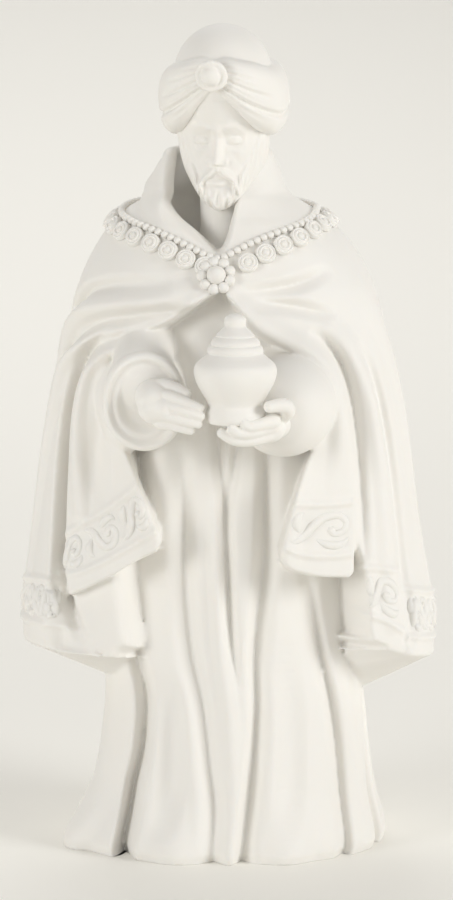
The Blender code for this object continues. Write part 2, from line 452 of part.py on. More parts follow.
def layer_spots(side, angle, z):
    """The robe with the cloak's deeper layer over it and the cast slope under its hem."""
    edge, hem = (LEFT_LAYER_EDGE, LEFT_LAYER_HEM) if side < 0 else (RIGHT_LAYER_EDGE, RIGHT_LAYER_HEM)
    base = plan_of(CLOAK)
    depth, faces = inside(angle, z, outline_of(edge, hem, corners=[(side * LAYER_CORNER[0], LAYER_CORNER[1])]))
    radius = base(angle, z)
    under = robe_spots(tucked(side, angle, depth, faces, radius - plan_of(ROBE)(angle, z)), z)
    degrees = np.degrees(angle)
    folds, trims = cloak_lift(angle, z)
    low = np.array(sorted(tuple(r) for r in smooth_path(hem, 6)))
    below = np.interp(degrees, low[:, 0], low[:, 1]) - z
    starts, full = UNDER_FROM[side]
    reach = smoothstep(starts, full, side * degrees)
    slope = radius + folds - UNDER_SET - UNDER_SLOPE * np.maximum(below, 0) / np.maximum(reach, UNDER_LEAST)
    fill = on_plan(np.maximum(slope, 0), angle, z)
    filled = (below > -HEM_ROLL) & (reach > UNDER_LEAST) & (slope > np.hypot(under[:, 0], under[:, 1]))
    under = np.where(filled[:, None], fill, under)
    bare = smoothstep(BORDER_FROM[side][0], BORDER_FROM[side][1], side * degrees) * (z < BORDER_BELOW)
    over = carved(base, folds + trims * bare - behind(degrees), angle, z)
    return under + (over - under) * rolled(depth, HEM_ROLL + (LAYER_ROLL[side] - HEM_ROLL) * np.abs(faces))


def clothes_outside(angle, z):
    """The outside of the robe with both layers of the cloak on it, all round."""
    spots = np.empty((len(angle), 3))
    for side in (-1, 1):
        here = (angle < 0) if side < 0 else (angle >= 0)
        a, h = angle[here], z[here]
        edge, hem, back, corners = (
            (LEFT_FRONT_EDGE, LEFT_FLAP_HEM, LEFT_FLAP_BACK, LEFT_CORNERS) if side < 0
            else (RIGHT_FRONT_EDGE, RIGHT_FLAP_HEM, RIGHT_FLAP_BACK, RIGHT_CORNERS))
        depth, faces = inside(a, h, outline_of(edge, hem, back, corners=corners))
        folds, trims = cloak_lift(a, h)
        over = carved(plan_of(CLOAK), folds + trims, a, h)
        level = layer_spots(side, a, h)
        drop = np.hypot(over[:, 0], over[:, 1]) - np.hypot(level[:, 0], level[:, 1])
        under = layer_spots(side, tucked(side, a, depth, faces, drop), h)
        spots[here] = under + (over - under) * rolled(depth, EDGE_ROLL)
    return spots


def lean_at(z):
    return read_rows(LEAN, z)[0]


def form(name, segments, rings, place):
    """A closed form: rings between two poles, put where `place` says for an angle and a share of the way."""
    angle = np.tile(np.linspace(-math.pi, math.pi, segments, endpoint=False), rings - 1)
    share = np.repeat(np.arange(1, rings) / rings, segments)
    spots = place(np.r_[0.0, angle, 0.0], np.r_[0.0, share, 1.0]) * UNIT
    ring = np.arange(segments)
    after = (ring + 1) % segments
    first = 1 + np.arange(rings - 2)[:, None] * segments
    quads = np.stack([first + ring, first + segments + ring, first + segments + after, first + after], -1)
    last = 1 + (rings - 2) * segments
    top = np.stack([ring * 0, 1 + ring, 1 + after], 1)
    bottom = np.stack([last + ring, ring * 0 + len(spots) - 1, last + after], 1)
    mesh = bpy.data.meshes.new(name)
    mesh.from_pydata(spots.tolist(), [], quads.reshape(-1, 4).tolist() + top.tolist() + bottom.tolist())
    obj = bpy.data.objects.new(name, mesh)
    bpy.context.scene.collection.objects.link(obj)
    return obj


def clothes_spots(angle, share):
    """Robe, cloak and collar: the floor inside the collar, its wall, its rim and the whole outside."""
    degrees = np.degrees(angle)
    top = read_rows(COLLAR_TOP, degrees)[0] - COLLAR_WALL / 2
    t = [np.clip((share - a) / (b - a), 0, 1) for a, b in zip(WAY_ENDS, WAY_ENDS[1:])]
    floor_end, wall_end, rim_end, side_end = WAY_ENDS[1:5]
    floor = read_rows(COLLAR_FLOOR, degrees)[0]
    z_in = COLLAR_LOW + (floor - COLLAR_LOW) * t[0] ** 2 + (top - floor) * t[1]
    z_out = top + (RUN_BELOW - top) * t[3]
    outer = clothes_outside(angle, z_out)
    outer[:, :2] *= np.where(share > side_end, 1 - t[4], 1.0)[:, None]
    rim_out = plan_of(CLOAK)(angle, top)
    rim_in = np.minimum(rim_out - COLLAR_WALL, read_rows(HOLLOW, top)[0])
    inner = np.minimum(plan_of(CLOAK)(angle, z_in) - COLLAR_WALL, read_rows(HOLLOW, z_in)[0])
    bend = t[2] * math.pi
    rim = (rim_out + rim_in) / 2 - (rim_out - rim_in) / 2 * np.cos(bend)
    radius = np.where(share < floor_end, inner * t[0], np.where(share < wall_end, inner, rim))
    z = np.where(share < wall_end, z_in, np.where(share < rim_end, top + COLLAR_WALL / 2 * np.sin(bend), z_out))
    spots = np.where((share < rim_end)[:, None], on_plan(radius, angle, z), outer)
    spots[:, 0] += lean_at(z)
    return spots


def on_cloak(degrees, height):
    """A point on the cloak and the way out from it."""
    step = 0.2
    angle = math.radians(degrees)
    base = plan_of(CLOAK)
    grid = np.array([(angle, height), (angle + step / 20, height), (angle, height + step)])
    p = on_plan(base(grid[:, 0], grid[:, 1]), grid[:, 0], grid[:, 1])
    p[:, 0] += lean_at(grid[:, 1])
    out = np.cross(p[1] - p[0], p[2] - p[0])
    return p[0], out / np.linalg.norm(out)


def frames(path):
    """Directions along a path and two across it that don't twist."""
    along = np.gradient(path, axis=0)
    along /= np.linalg.norm(along, axis=1)[:, None]
    side = np.cross(along[0], (0.0, 0.0, 1.0))
    if np.linalg.norm(side) < 0.1:
        side = np.array([1.0, 0.0, 0.0])
    sides = []
    for a in along:
        side = side - a * (side @ a)
        side = side / np.linalg.norm(side)
        sides.append(side)
    sides = np.array(sides)
    return along, sides, np.cross(sides, along)


def swept(name, path, rows, segments=32, rings=48, stretch=None, steps=16):
    """A round form swept along a path; the rows are (share of the path, radius), and `stretch` may give a
    factor on the radius for an angle and a radius."""
    line = smooth_path(path, steps)
    length = np.r_[0, np.cumsum(np.linalg.norm(np.diff(line, axis=0), axis=1))]
    along, side, up = frames(line)
    profile = smooth_path(rows, 10)
    arc = np.r_[0, np.cumsum(np.linalg.norm(np.diff(profile * (length[-1], 1), axis=0), axis=1))]

    def place(angle, share):
        at = share * arc[-1]
        t, r = (np.interp(at, arc, profile[:, k]) for k in (0, 1))
        r = np.maximum(r, 0)
        where = np.clip(t, 0, 1) * length[-1]
        centre, a, s, u = (np.stack([np.interp(where, length, c[:, k]) for k in range(3)], 1)
                           for c in (line, along, side, up))
        centre = centre + a * ((t - np.clip(t, 0, 1)) * length[-1])[:, None]
        if stretch:
            r = r * stretch(angle, r)
        return centre + (s * np.sin(angle)[:, None] - u * np.cos(angle)[:, None]) * r[:, None]
    return form(name, segments, rings, place)


def limb(name, path, radii, segments=20, rings=28):
    """A limb with rounded ends and its own radius at each point of its path."""
    length = sum(math.dist(a, b) for a, b in zip(path, path[1:]))
    shares = np.linspace(0, 1, len(radii))
    start = [(-radii[0] * c / length, radii[0] * s) for c, s in ((1, 0), (0.7, 0.7))]
    end = [(1 + radii[-1] * c / length, radii[-1] * s) for c, s in ((0.7, 0.7), (1, 0))]
    return swept(name, path, start + list(zip(shares, radii)) + end, segments, rings)


def ball(name, centre, size, turn=np.eye(3), segments=24, rings=16):
    def place(angle, share):
        s = np.sin(share * math.pi)
        p = np.stack([s * np.sin(angle), -s * np.cos(angle), np.cos(share * math.pi)], 1) * size
        return p @ np.asarray(turn).T + centre
    return form(name, segments, rings, place)


def facing(out):
    """A turn that puts the local z axis along a given way out."""
    side = np.cross((0.0, 0.0, 1.0), out)
    side /= np.linalg.norm(side)
    return np.stack([side, np.cross(out, side), out], 1)


def head_turn():
    nod, turn = math.radians(HEAD_NOD), math.radians(HEAD_TURN)
    about_x = np.array([[1, 0, 0], [0, math.cos(nod), -math.sin(nod)], [0, math.sin(nod), math.cos(nod)]])
    about_z = np.array([[math.cos(turn), -math.sin(turn), 0], [math.sin(turn), math.cos(turn), 0], [0, 0, 1]])
    return about_z @ about_x


def on_head(p):
    return np.asarray(p) @ head_turn().T + HEAD_AT


def head_base(angle, z):
    half, front, back = read_rows(HEAD, z)
    s, c = np.abs(np.sin(angle)), np.cos(angle)
    depth = np.where(c > 0, front, np.maximum(back, 0.5))
    return ((s / half) ** 2.1 + (np.abs(c) / depth) ** 2.1) ** (-1 / 2.1)


def lock_folds():
    folds = []
    for top_angle, top, tip_angle, tip in BEARD_LOCKS:
        for side in ((1,) if top_angle == 0 else (-1, 1)):
            middle = (side * (top_angle * 0.3 + tip_angle * 0.7 + 2.5), (top + tip) / 2)
            folds.append((LOCK_WIDTH, LOCK_WIDTH, False,
                          [(side * top_angle, top, 0.3 * LOCK_LIFT), (*middle, LOCK_LIFT),
                           (side * tip_angle, tip, 0.7 * LOCK_LIFT)]))
    return folds


def head_spots(angle, share):
    low, high = HEAD[0][0], HEAD[-1][0]
    t = np.clip((share - 0.02) / 0.96, 0, 1)
    z = high + (low - high) * t
    p = carved(head_base, lifts(head_base, FACE_FOLDS + lock_folds(), angle, z), angle, z)
    p[:, :2] *= np.clip(np.minimum(share, 1 - share) / 0.02, 0, 1)[:, None]
    return on_head(p)


def wrap_spots(angle, share):
    """The turban's wrap: a thick band that narrows to its knot."""
    middle, half, thick = read_rows(WRAP, np.degrees(angle))
    bend = (share - 0.5) * 2
    inner = np.abs(bend) > 0.8
    s = np.clip(bend / 0.8, -1, 1)
    bulge = (1 - np.abs(s) ** 2.4) ** (1 / 2.4)
    core = oval(*WRAP_CORE, angle)
    radius = core + thick * bulge
    for place, depth, spread in WRAP_GROOVES:
        fade = 1 - smoothstep(0.5 * spread, spread, np.abs(np.degrees(angle)))
        radius = radius - depth * fade * np.exp(-((-s - place) / 0.1) ** 2)
    radius = np.where(inner, core * np.clip((1 - np.abs(bend)) / 0.2, 0, 1), radius)
    return on_head(on_plan(radius, angle, middle - s * half))


def jar_spots(angle, share):
    profile = smooth_path(JAR, 6)
    arc = np.r_[0, np.cumsum(np.linalg.norm(np.diff(profile, axis=0), axis=1))]
    at = (1 - share) * arc[-1]
    z, r = np.interp(at, arc, profile[:, 0]), np.maximum(np.interp(at, arc, profile[:, 1]), 0)
    return on_plan(r, angle, z) + (JAR_AXIS[0], JAR_AXIS[1], 0)


def throat_spots(angle, share):
    low, high = THROAT[0][0], THROAT[-1][0]
    z = high + (low - high) * np.clip((share - 0.03) / 0.94, 0, 1)
    forward, half, depth = read_rows(THROAT, z)
    cap = np.clip(np.minimum(share, 1 - share) / 0.03, 0, 1)
    p = on_plan(oval(half, depth, depth, angle) * cap, angle, z)
    p[:, 1] -= forward
    return p


def necklace():
    lines = [on_cloak(a, h) for a, h in smooth_path(STRING, 8)]
    path = [spot + out * STRING_OUT for spot, out in lines]
    made = [limb("string", path, [STRING_RADIUS, STRING_RADIUS], 12, 300)]
    line = smooth_path(DISC_LINE, 12)
    spots = np.array([on_cloak(a, h)[0] for a, h in line])
    length = np.r_[0, np.cumsum(np.linalg.norm(np.diff(spots, axis=0), axis=1))]
    count = int(length[-1] // DISC_SPACING)
    for k in range(1, count):
        at = k * length[-1] / count
        a, h = np.interp(at, length, line[:, 0]), np.interp(at, length, line[:, 1])
        spot, out = on_cloak(a, h)
        made.append(ball("disc", spot + out * DISC_OUT, (DISC_RADIUS, DISC_RADIUS, DISC_THICK), facing(out), 16, 10))
    spot, out = on_cloak(*PENDANT)
    turn = facing(out)
    made.append(ball("boss", spot + out * 1.2, (BOSS_RADIUS, BOSS_RADIUS, 1.9), turn))
    for k in range(PETALS):
        a = 2 * math.pi * (k + 0.5) / PETALS
        petal = spot + turn @ (PETAL_RING * math.cos(a), PETAL_RING * math.sin(a), 0.7)
        made.append(ball("petal", petal, (PETAL_RADIUS, PETAL_RADIUS, 1.25), turn, 16, 10))
    return made


def all_forms():
    made = [form("clothes", 640, 460, clothes_spots), form("throat", 64, 40, throat_spots),
            form("head", 160, 150, head_spots), form("wrap", 200, 80, wrap_spots),
            form("jar", 64, 110, jar_spots)]
    turn = head_turn()
    made.append(ball("cap", on_head(CAP), CAP_SIZE, turn, 48, 32))
    made.append(ball("knot", on_head(KNOT_AT), KNOT_SIZE, turn))
    made.append(swept("left_sleeve", LEFT_ARM, LEFT_SLEEVE, 72, 120,
                      lambda angle, r: 1 + MOUTH_STRETCH * np.cos(2 * angle)))
    made.append(swept("right_sleeve", RIGHT_ARM, RIGHT_SLEEVE, 72, 100))
    for path, radii in UPPER_SLEEVE:
        made.append(limb("upper_sleeve", path, radii, 40, 50))
    for path, radii in LEFT_HAND + RIGHT_HAND:
        made.append(limb("finger", path, radii))
    return made + necklace()


def keep_biggest(obj):
    """Drops loose specks and closed pockets, so that one body is left."""
    bm = bmesh.new()
    bm.from_mesh(obj.data)
    bm.verts.ensure_lookup_table()
    seen = np.zeros(len(bm.verts), bool)
    groups = []
    for vert in bm.verts:
        if seen[vert.index]:
            continue
        group, stack = [], [vert]
        seen[vert.index] = True
        while stack:
            v = stack.pop()
            group.append(v)
            for edge in v.link_edges:
                w = edge.other_vert(v)
                if not seen[w.index]:
                    seen[w.index] = True
                    stack.append(w)
        groups.append(group)
    biggest = max(groups, key=len)
    for group in groups:
        if group is not biggest:
            bmesh.ops.delete(bm, geom=group, context="VERTS")
    bm.to_mesh(obj.data)
    bm.free()


def fuse(parts, name):
    """One closed skin round all the forms."""
    bpy.ops.object.select_all(action="DESELECT")
    for obj in parts:
        obj.select_set(True)
    bpy.context.view_layer.objects.active = parts[0]
    bpy.ops.object.join()
    obj = bpy.context.object
    obj.name = name
    obj.data.name = name
    skin = obj.modifiers.new("skin", "REMESH")
    skin.mode = "VOXEL"
    skin.voxel_size = GRAIN * UNIT
    bpy.ops.object.modifier_apply(modifier=skin.name)
    keep_biggest(obj)
    soft = obj.modifiers.new("soft", "SMOOTH")
    soft.factor = 0.5
    soft.iterations = SOFTEN
    bpy.ops.object.modifier_apply(modifier=soft.name)
    return obj


def flat_base(obj):
    """Cuts the underside flat at the ground."""
    bm = bmesh.new()
    bm.from_mesh(obj.data)
    cut = bmesh.ops.bisect_plane(bm, geom=bm.verts[:] + bm.edges[:] + bm.faces[:], dist=1e-7,
                                 plane_co=(0, 0, 0), plane_no=(0, 0, -1), clear_outer=True)
    rim = [e for e in cut["geom_cut"] if isinstance(e, bmesh.types.BMEdge)]
    bmesh.ops.triangle_fill(bm, edges=rim, use_beauty=True)
    bmesh.ops.triangulate(bm, faces=bm.faces[:])
    bmesh.ops.recalc_face_normals(bm, faces=bm.faces[:])
    bm.to_mesh(obj.data)
    bm.free()


def stand_over_origin(obj):
    """Moves the mesh so that the middle of its box is over the origin."""
    flat = np.empty(len(obj.data.vertices) * 3)
    obj.data.vertices.foreach_get("co", flat)
    spots = flat.reshape(-1, 3)
    spots[:, :2] -= (spots[:, :2].min(0) + spots[:, :2].max(0)) / 2
    obj.data.vertices.foreach_set("co", spots.ravel())
    obj.data.update()


def thin_out(obj, triangles):
    count = sum(len(p.vertices) - 2 for p in obj.data.polygons)
    thin = obj.modifiers.new("thin", "DECIMATE")
    thin.ratio = min(1, triangles / count)
    bpy.ops.object.modifier_apply(modifier=thin.name)


def paint(obj):
    bisque = bpy.data.materials.new("bisque_porcelain")
    bisque.use_nodes = True
    shader = bisque.node_tree.nodes["Principled BSDF"]
    shader.inputs["Base Color"].default_value = (0.87, 0.855, 0.82, 1.0)
    shader.inputs["Roughness"].default_value = 0.62
    shader.inputs["Metallic"].default_value = 0.0
    obj.data.materials.clear()
    obj.data.materials.append(bisque)


def main():
    for obj in list(bpy.data.objects):
        bpy.data.objects.remove(obj, do_unlink=True)
    figure = fuse(all_forms(), "wise_man")
    thin_out(figure, TRIANGLES)
    flat_base(figure)
    stand_over_origin(figure)
    paint(figure)


main()
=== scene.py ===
"""Nativity wise man figurine in white bisque: its finished surface, material, stage and camera."""

import math

import bmesh
import bpy
import numpy as np
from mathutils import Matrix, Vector


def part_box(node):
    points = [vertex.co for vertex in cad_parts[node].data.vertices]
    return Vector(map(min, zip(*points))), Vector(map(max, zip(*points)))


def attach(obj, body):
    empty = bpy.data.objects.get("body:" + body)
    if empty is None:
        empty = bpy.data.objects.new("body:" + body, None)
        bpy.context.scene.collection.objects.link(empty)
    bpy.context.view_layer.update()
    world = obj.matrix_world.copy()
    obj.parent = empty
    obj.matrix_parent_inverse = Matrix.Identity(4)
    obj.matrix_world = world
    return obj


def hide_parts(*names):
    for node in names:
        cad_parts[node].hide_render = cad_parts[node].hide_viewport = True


bl_info = {
    "name": "Nativity wise man figurine",
    "version": (1, 0, 0),
    "blender": (4, 5, 0),
    "location": "View3D > Sidebar > Figurine",
    "description": "Builds a white bisque nativity wise man around its packed solid",
    "category": "Object",
}

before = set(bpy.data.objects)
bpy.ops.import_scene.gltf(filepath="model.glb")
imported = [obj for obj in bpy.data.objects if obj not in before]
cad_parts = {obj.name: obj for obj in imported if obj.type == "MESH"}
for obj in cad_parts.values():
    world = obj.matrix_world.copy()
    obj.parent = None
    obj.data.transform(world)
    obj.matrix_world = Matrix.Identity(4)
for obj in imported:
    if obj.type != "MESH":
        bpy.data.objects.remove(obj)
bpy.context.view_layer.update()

# Height of the figure in metres. Every other length is in parts, with PARTS of them to the height.
HEIGHT = 0.165
PARTS = 165.0
UNIT = HEIGHT / PARTS

# Roundness of the plan of the clothes, as the power of a superellipse, and the girth used to measure
# along the cloth.
PLAN_POWER = 2.3
GIRTH = 33.0

# Robe: height, half width, depth to the front, depth to the back.
ROBE = [(-6, 31.5, 27.5, 26.0), (0, 32.0, 27.8, 26.0), (3, 32.0, 28.0, 26.5), (13, 28.5, 25.0, 24.5),
    (30, 26.3, 22.5, 22.5), (45, 25.5, 21.0, 21.5), (65, 24.0, 20.0, 20.5), (85, 22.5, 18.5, 19.5),
    (105, 20.0, 17.0, 17.5), (118, 16.0, 13.5, 14.0), (128, 10.0, 9.0, 9.0), (140, 7.0, 7.0, 7.0)]

# Cloak and collar: height, half width, depth to the front, depth to the back.
CLOAK = [(20, 41.0, 28.0, 32.0), (36, 41.5, 28.5, 32.8), (48, 41.3, 28.5, 32.5), (65, 38.3, 27.5, 31.0),
    (89, 35.0, 26.0, 28.5), (103, 32.2, 24.0, 26.0), (112, 30.0, 22.0, 23.5), (119.6, 26.5, 19.0, 20.0),
    (125.3, 22.2, 16.4, 17.0), (127.6, 19.4, 14.6, 15.2), (129.6, 16.4, 13.4, 13.8),
    (131.4, 14.2, 12.3, 12.8), (133.4, 13.5, 11.8, 12.2), (136, 12.5, 11.0, 11.4), (140, 10.6, 10.0, 10.6),
    (146, 10.0, 9.5, 10.0)]

# Sideways lean of the clothes: height, shift to the right.
LEAN = [(-6, 0.2), (0, 0.2), (13, 1.4), (30, 1.6), (48, 0.1), (100, 0.0), (119, -0.3), (126, -1.0),
    (133, -1.9), (140, -1.6), (146, -1.5)]

# Folds of the robe. Each is (width on the left hand, width on the right hand, creased, path), walking along
# the path and seen from outside; the path's rows are (angle from the front, height, lift).
ROBE_FOLDS = [
    (3.4, 3.4, True, [(-41, -4, -8.0), (-43, 4, -8.0), (-46, 13, -7.0), (-44.5, 22, -6.0),
        (-45.5, 33, -5.0), (-50, 40, -3.0)]),
    (4.0, 4.0, False, [(-34, 36, 0.0), (-31, 27, -1.4), (-29, 12, -1.6), (-28, 4, 0.0)]),
    (3.6, 3.6, False, [(-23, 40, 0.0), (-19, 27, 0.9), (-14, 14, 1.0), (-8, 3, 0.6)]),
    (3.0, 4.2, True, [(-26, 84, 0.0), (-24, 68, -2.2), (-20, 46, -2.6), (-13, 22, -2.8), (-8, 10, -2.8),
        (-5, -4, -2.6)]),
    (2.6, 2.6, False, [(-8, 74, 0.0), (-5, 55, 1.2), (-2.5, 30, 1.2), (1, 10, 1.0), (2, -4, 1.0)]),
    (2.2, 2.2, True, [(-8, 100, 0.0), (-6, 86, -2.0), (-2, 73, -2.2), (0, 60, -2.4), (1.5, 48, -2.0),
        (3, 36, -0.6)]),
    (2.0, 2.0, True, [(8, 90, 0.0), (6, 82, -1.6), (2, 73, -1.8), (0.4, 66, -0.4)]),
    (4.4, 2.4, True, [(24, 92, 0.0), (22, 78, -3.0), (20, 60, -3.6), (16, 48, -3.8), (12, 36, -3.8),
        (9, 22, -3.6), (6, 8, -3.6), (5, -4, -3.4)]),
    (4.0, 4.0, False, [(29, 44, 0.0), (27, 26, -1.2), (25, 12, -1.2), (24, 2, 0.0)]),
    (3.0, 2.6, True, [(42, 60, 0.0), (46, 47, -2.4), (48, 34, -2.8), (49, 16, -3.0), (47, -4, -3.4)]),
    (4.0, 4.0, False, [(56, 44, 0.4), (59, 32, 1.2), (61, 18, 1.2), (59, 4, 0.6)]),
    (3.0, 3.0, True, [(86, 40, -1.6), (80, 24, -2.4), (72, 8, -3.0), (69, -4, -3.2)]),
    (8.0, 8.0, False, [(-66, 26, 0.0), (-68, 13, 1.2), (-71, 3, 3.4), (-72, -4, 3.8)]),
    (6.0, 6.0, False, [(-22, 14, 0.0), (-22, 4, 1.2), (-22, -4, 1.4)]),
    (6.0, 6.0, False, [(26, 14, 0.0), (25, 4, 1.6), (25, -4, 1.8)]),
    (5.0, 5.0, False, [(-15, 108, 0.0), (-17, 98, 1.6), (-19, 84, 0.8), (-20, 72, 0.0)]),
    (5.0, 5.0, False, [(13, 72, 0.0), (12, 56, 1.0), (10, 36, 0.8), (14, 22, 0.0)]),
    (7.0, 6.0, False, [(-44, 94, 0.0), (-43, 85, 2.4), (-39, 76, 3.0), (-34, 66, 1.6), (-31, 54, 0.0)]),
]

# Hidden folds of the robe, behind: angle, depth at the hem.
ROBE_BACK_FOLDS = [(-92, 3.2), (-118, 2.6), (-141, 3.0), (-163, 2.4), (174, 3.0), (151, 2.6), (128, 3.2),
    (98, 2.8)]

# Folds of the cloak, in the same terms.
CLOAK_FOLDS = [
    (3.2, 3.2, True, [(-27, 114.5, 0.0), (-38, 114, -1.6), (-58, 113.5, -2.8), (-74, 111, -3.3),
        (-89, 105, -2.8), (-97, 96, -1.0)]),
    (3.6, 3.6, False, [(-12, 112.8, 0.5), (-33, 112.2, 1.8), (-55, 111, 2.2), (-70, 109, 2.2),
        (-85, 103, 1.3), (-92, 92, 0.5)]),
    (2.6, 2.6, True, [(-18, 110.4, 0.0), (-29, 109.3, -2.2), (-54, 107.2, -3.1), (-68, 104, -3.3),
        (-81, 98, -2.8), (-87, 88, -1.2)]),
    (3.4, 3.4, False, [(-36, 108, 0.5), (-59, 105, 1.8), (-71, 101, 2.3), (-77, 96, 2.1), (-80, 88, 1.8),
        (-83, 76, 1.6), (-84, 64, 1.3), (-82, 52, 0.8)]),
    (2.6, 3.2, True, [(-17, 111, 0.0), (-28, 108.5, -1.3), (-45, 105, -2.9), (-56, 102.5, -3.9),
        (-62, 99.5, -4.7), (-66, 95, -5.7), (-67.5, 88, -7.0), (-67, 78, -7.8), (-65, 66, -7.8),
        (-62.5, 57, -6.8), (-59, 51, -5.7), (-55, 46.5, -3.4), (-51, 43.5, 0.0)]),
    (3.2, 2.6, False, [(-7, 112.4, 0.8), (-24, 109.6, 1.3), (-42, 106, 1.8), (-53, 102.6, 2.1),
        (-60, 97.6, 2.3), (-61.5, 90, 2.3), (-60, 80, 2.3), (-57, 70, 1.6)]),
    (3.6, 3.6, False, [(-49, 97, 0.0), (-51, 88, -1.6), (-51, 78, -1.8), (-49, 71, 0.0)]),
    (3.4, 3.4, False, [(2, 112, 1.0), (14, 108, 1.6), (25, 105, 1.8), (36, 102, 2.1), (43, 98, 2.3),
        (46, 92, 2.1), (46, 84, 1.3), (44, 76, 0.5)]),
    (2.6, 2.6, True, [(4, 113.3, 0.0), (18, 113.5, -2.0), (35, 114.5, -2.6), (56, 117.4, 0.0)]),
    (2.6, 2.6, True, [(10, 111.8, 0.0), (22, 111, -2.4), (36, 110, -2.5), (51, 108, 0.0)]),
    (2.6, 2.6, True, [(37, 105.5, 0.0), (43, 103.6, -1.8), (48, 100, -2.6), (51, 94, -2.8),
        (52.5, 84, -2.8), (52.5, 74, -2.4), (52, 65, -1.6), (51.5, 57, 0.0)]),
    (6.0, 0.9, False, [(68, 60, 0.0), (67, 54, 0.6), (65.5, 46, 1.0), (65, 38, 1.0)]),
    (3.4, 3.4, False, [(48, 106, 0.4), (54, 102, 1.4), (59, 94, 1.6), (61, 84, 1.6), (62, 72, 1.6),
        (61, 60, 1.4), (59, 48, 0.8)]),
    (2.8, 2.8, True, [(58, 103, 0.0), (63, 97, -1.6), (66, 89, -2.2), (68, 78, -2.0), (68, 66, -1.6),
        (67, 56, -1.6), (66, 44, -1.4)]),
    (5.0, 5.0, False, [(70, 112, 0.4), (80, 100, 1.0), (84, 84, 1.2), (86, 66, 1.0), (86, 48, 0.8)]),
    (3.0, 3.0, True, [(-90, 96, 0.0), (-94, 84, -1.2), (-96, 66, -1.6), (-97, 46, -1.6), (-97, 38, -1.2)]),
    (3.0, 3.0, True, [(96, 108, 0.0), (101, 92, -1.4), (103, 70, -1.8), (104, 48, -1.8), (104, 36, -1.4)]),
    (3.4, 3.4, False, [(-33, 80, 0.0), (-32, 74, 0.8), (-29, 68, 1.0), (-26, 62, 0.8)]),
    (3.4, 3.4, False, [(31, 82, 0.0), (28, 74, 1.0), (25, 64, 1.2), (24, 58, 1.0)]),
    (3.6, 3.6, False, [(-110, 132.4, 0.4), (-82, 132.2, 1.0), (-62, 130.6, 1.2), (-42, 127.6, 0.8),
        (-26, 124.6, 0.0)]),
    (2.4, 2.4, True, [(-104, 129.6, -0.4), (-80, 129.2, -0.9), (-58, 127.2, -0.8), (-38, 124.8, 0.0)]),
]

# Hidden folds of the cloak, behind: angle, height where it starts, lift.
CLOAK_BACK_FOLDS = [(-116, 112, 1.5), (-128, 104, -1.9), (-142, 116, 1.7), (-155, 102, -2.0),
    (-168, 118, 1.6), (179, 104, -2.0), (166, 118, 1.7), (153, 102, -1.9), (140, 114, 1.6),
    (127, 104, -1.9), (115, 112, 1.4)]

# Edges of the cloak as rows of (angle, height): the front edges with the flaps' hems, the deeper layer seen
# below the flaps, and its hem.
LEFT_FRONT_EDGE = [(4, 124), (3, 117), (0, 114), (-6, 112.6), (-14, 110.8), (-26, 107.6), (-40, 104),
    (-48, 100.6), (-51.5, 96), (-52, 91), (-49, 87), (-44, 84.8), (-39.5, 82.6), (-35.5, 78.5), (-32, 74),
    (-27.5, 69), (-24.6, 65.6), (-24.4, 64.2)]
LEFT_FLAP_HEM = [(-26.4, 62.4), (-40, 57.8), (-54, 53), (-60, 51.2)]
LEFT_FLAP_BACK = [(-63, 52.5), (-65.5, 57), (-67, 64)]
LEFT_LAYER_EDGE = [(-76, 104), (-65, 95), (-58, 84), (-46, 75), (-39, 64), (-36, 52), (-34, 44)]
LEFT_LAYER_HEM = [(-36, 42.4), (-43, 39.8), (-54, 41), (-79, 40.8), (-110, 40), (-145, 39), (-205, 38.5)]
RIGHT_FRONT_EDGE = [(-4, 124), (-4, 116), (-1, 112.8), (5, 109.8), (13, 106), (22, 103.2), (30, 100.8),
    (36, 97.4), (38.5, 93), (38, 88.5), (35.5, 84.8), (32, 81.6), (28.6, 77), (24, 70), (20.6, 63.6),
    (20.4, 61.6)]
RIGHT_FLAP_HEM = [(22, 60), (26, 58.4), (34, 57), (46.5, 56.2)]
RIGHT_FLAP_BACK = [(49, 57.6), (50, 64), (50.5, 72), (51.5, 80), (53, 90), (56, 97)]
RIGHT_LAYER_EDGE = [(44, 106), (42, 98), (43, 90), (45, 78), (47.5, 66), (50, 58), (50.5, 52), (50, 46)]
RIGHT_LAYER_HEM = [(51, 43.8), (54, 42.8), (60.5, 41), (68, 39.4), (87, 37.5), (120, 38), (150, 38.5),
    (205, 38.5)]

# Corners that close those outlines round the back, past the middle of it and above the collar; the deeper
# layer's is mirrored.
LEFT_CORNERS = [(-205, 66), (-205, 160), (4, 160)]
RIGHT_CORNERS = [(60, 100), (205, 100), (205, 160), (-5, 160)]
LAYER_CORNER = (205, 104)

# How far the deeper layer lies behind the flaps, and where it comes level with the rest of the cloak.
LAYER_SET = 3.4
LEFT_LEVEL = (-60.0, -68.0)
RIGHT_LEVEL = (45.0, 50.0)

# Where the folds' lift turns from straight ahead to outwards, as angles in radians; how far the surface under
# a cloth is met behind its edge, and over what distance.
FRONT_UNTIL = 0.7
SIDE_FROM = 1.9
TUCK_MOST = 9.0
TUCK_REACH = 15.0

# Where the cast underside starts at each side, and the part of the deeper layer that has its own border.
UNDER_FROM = {-1: (44, 66), 1: (51, 80)}
BORDER_FROM = {-1: (48, 54), 1: (47, 50)}
BORDER_BELOW = 60.0

# Rolls of the cloth: the flaps' edges, the deeper layer's hem and its front edge. Then the slope of the cast
# underside, how much it is set in, and the least share of it that is filled.
EDGE_ROLL = 1.1
HEM_ROLL = 1.0
LAYER_ROLL = {-1: 3.6, 1: 1.3}
UNDER_SLOPE = 2.1
UNDER_SET = 1.2
UNDER_LEAST = 0.12

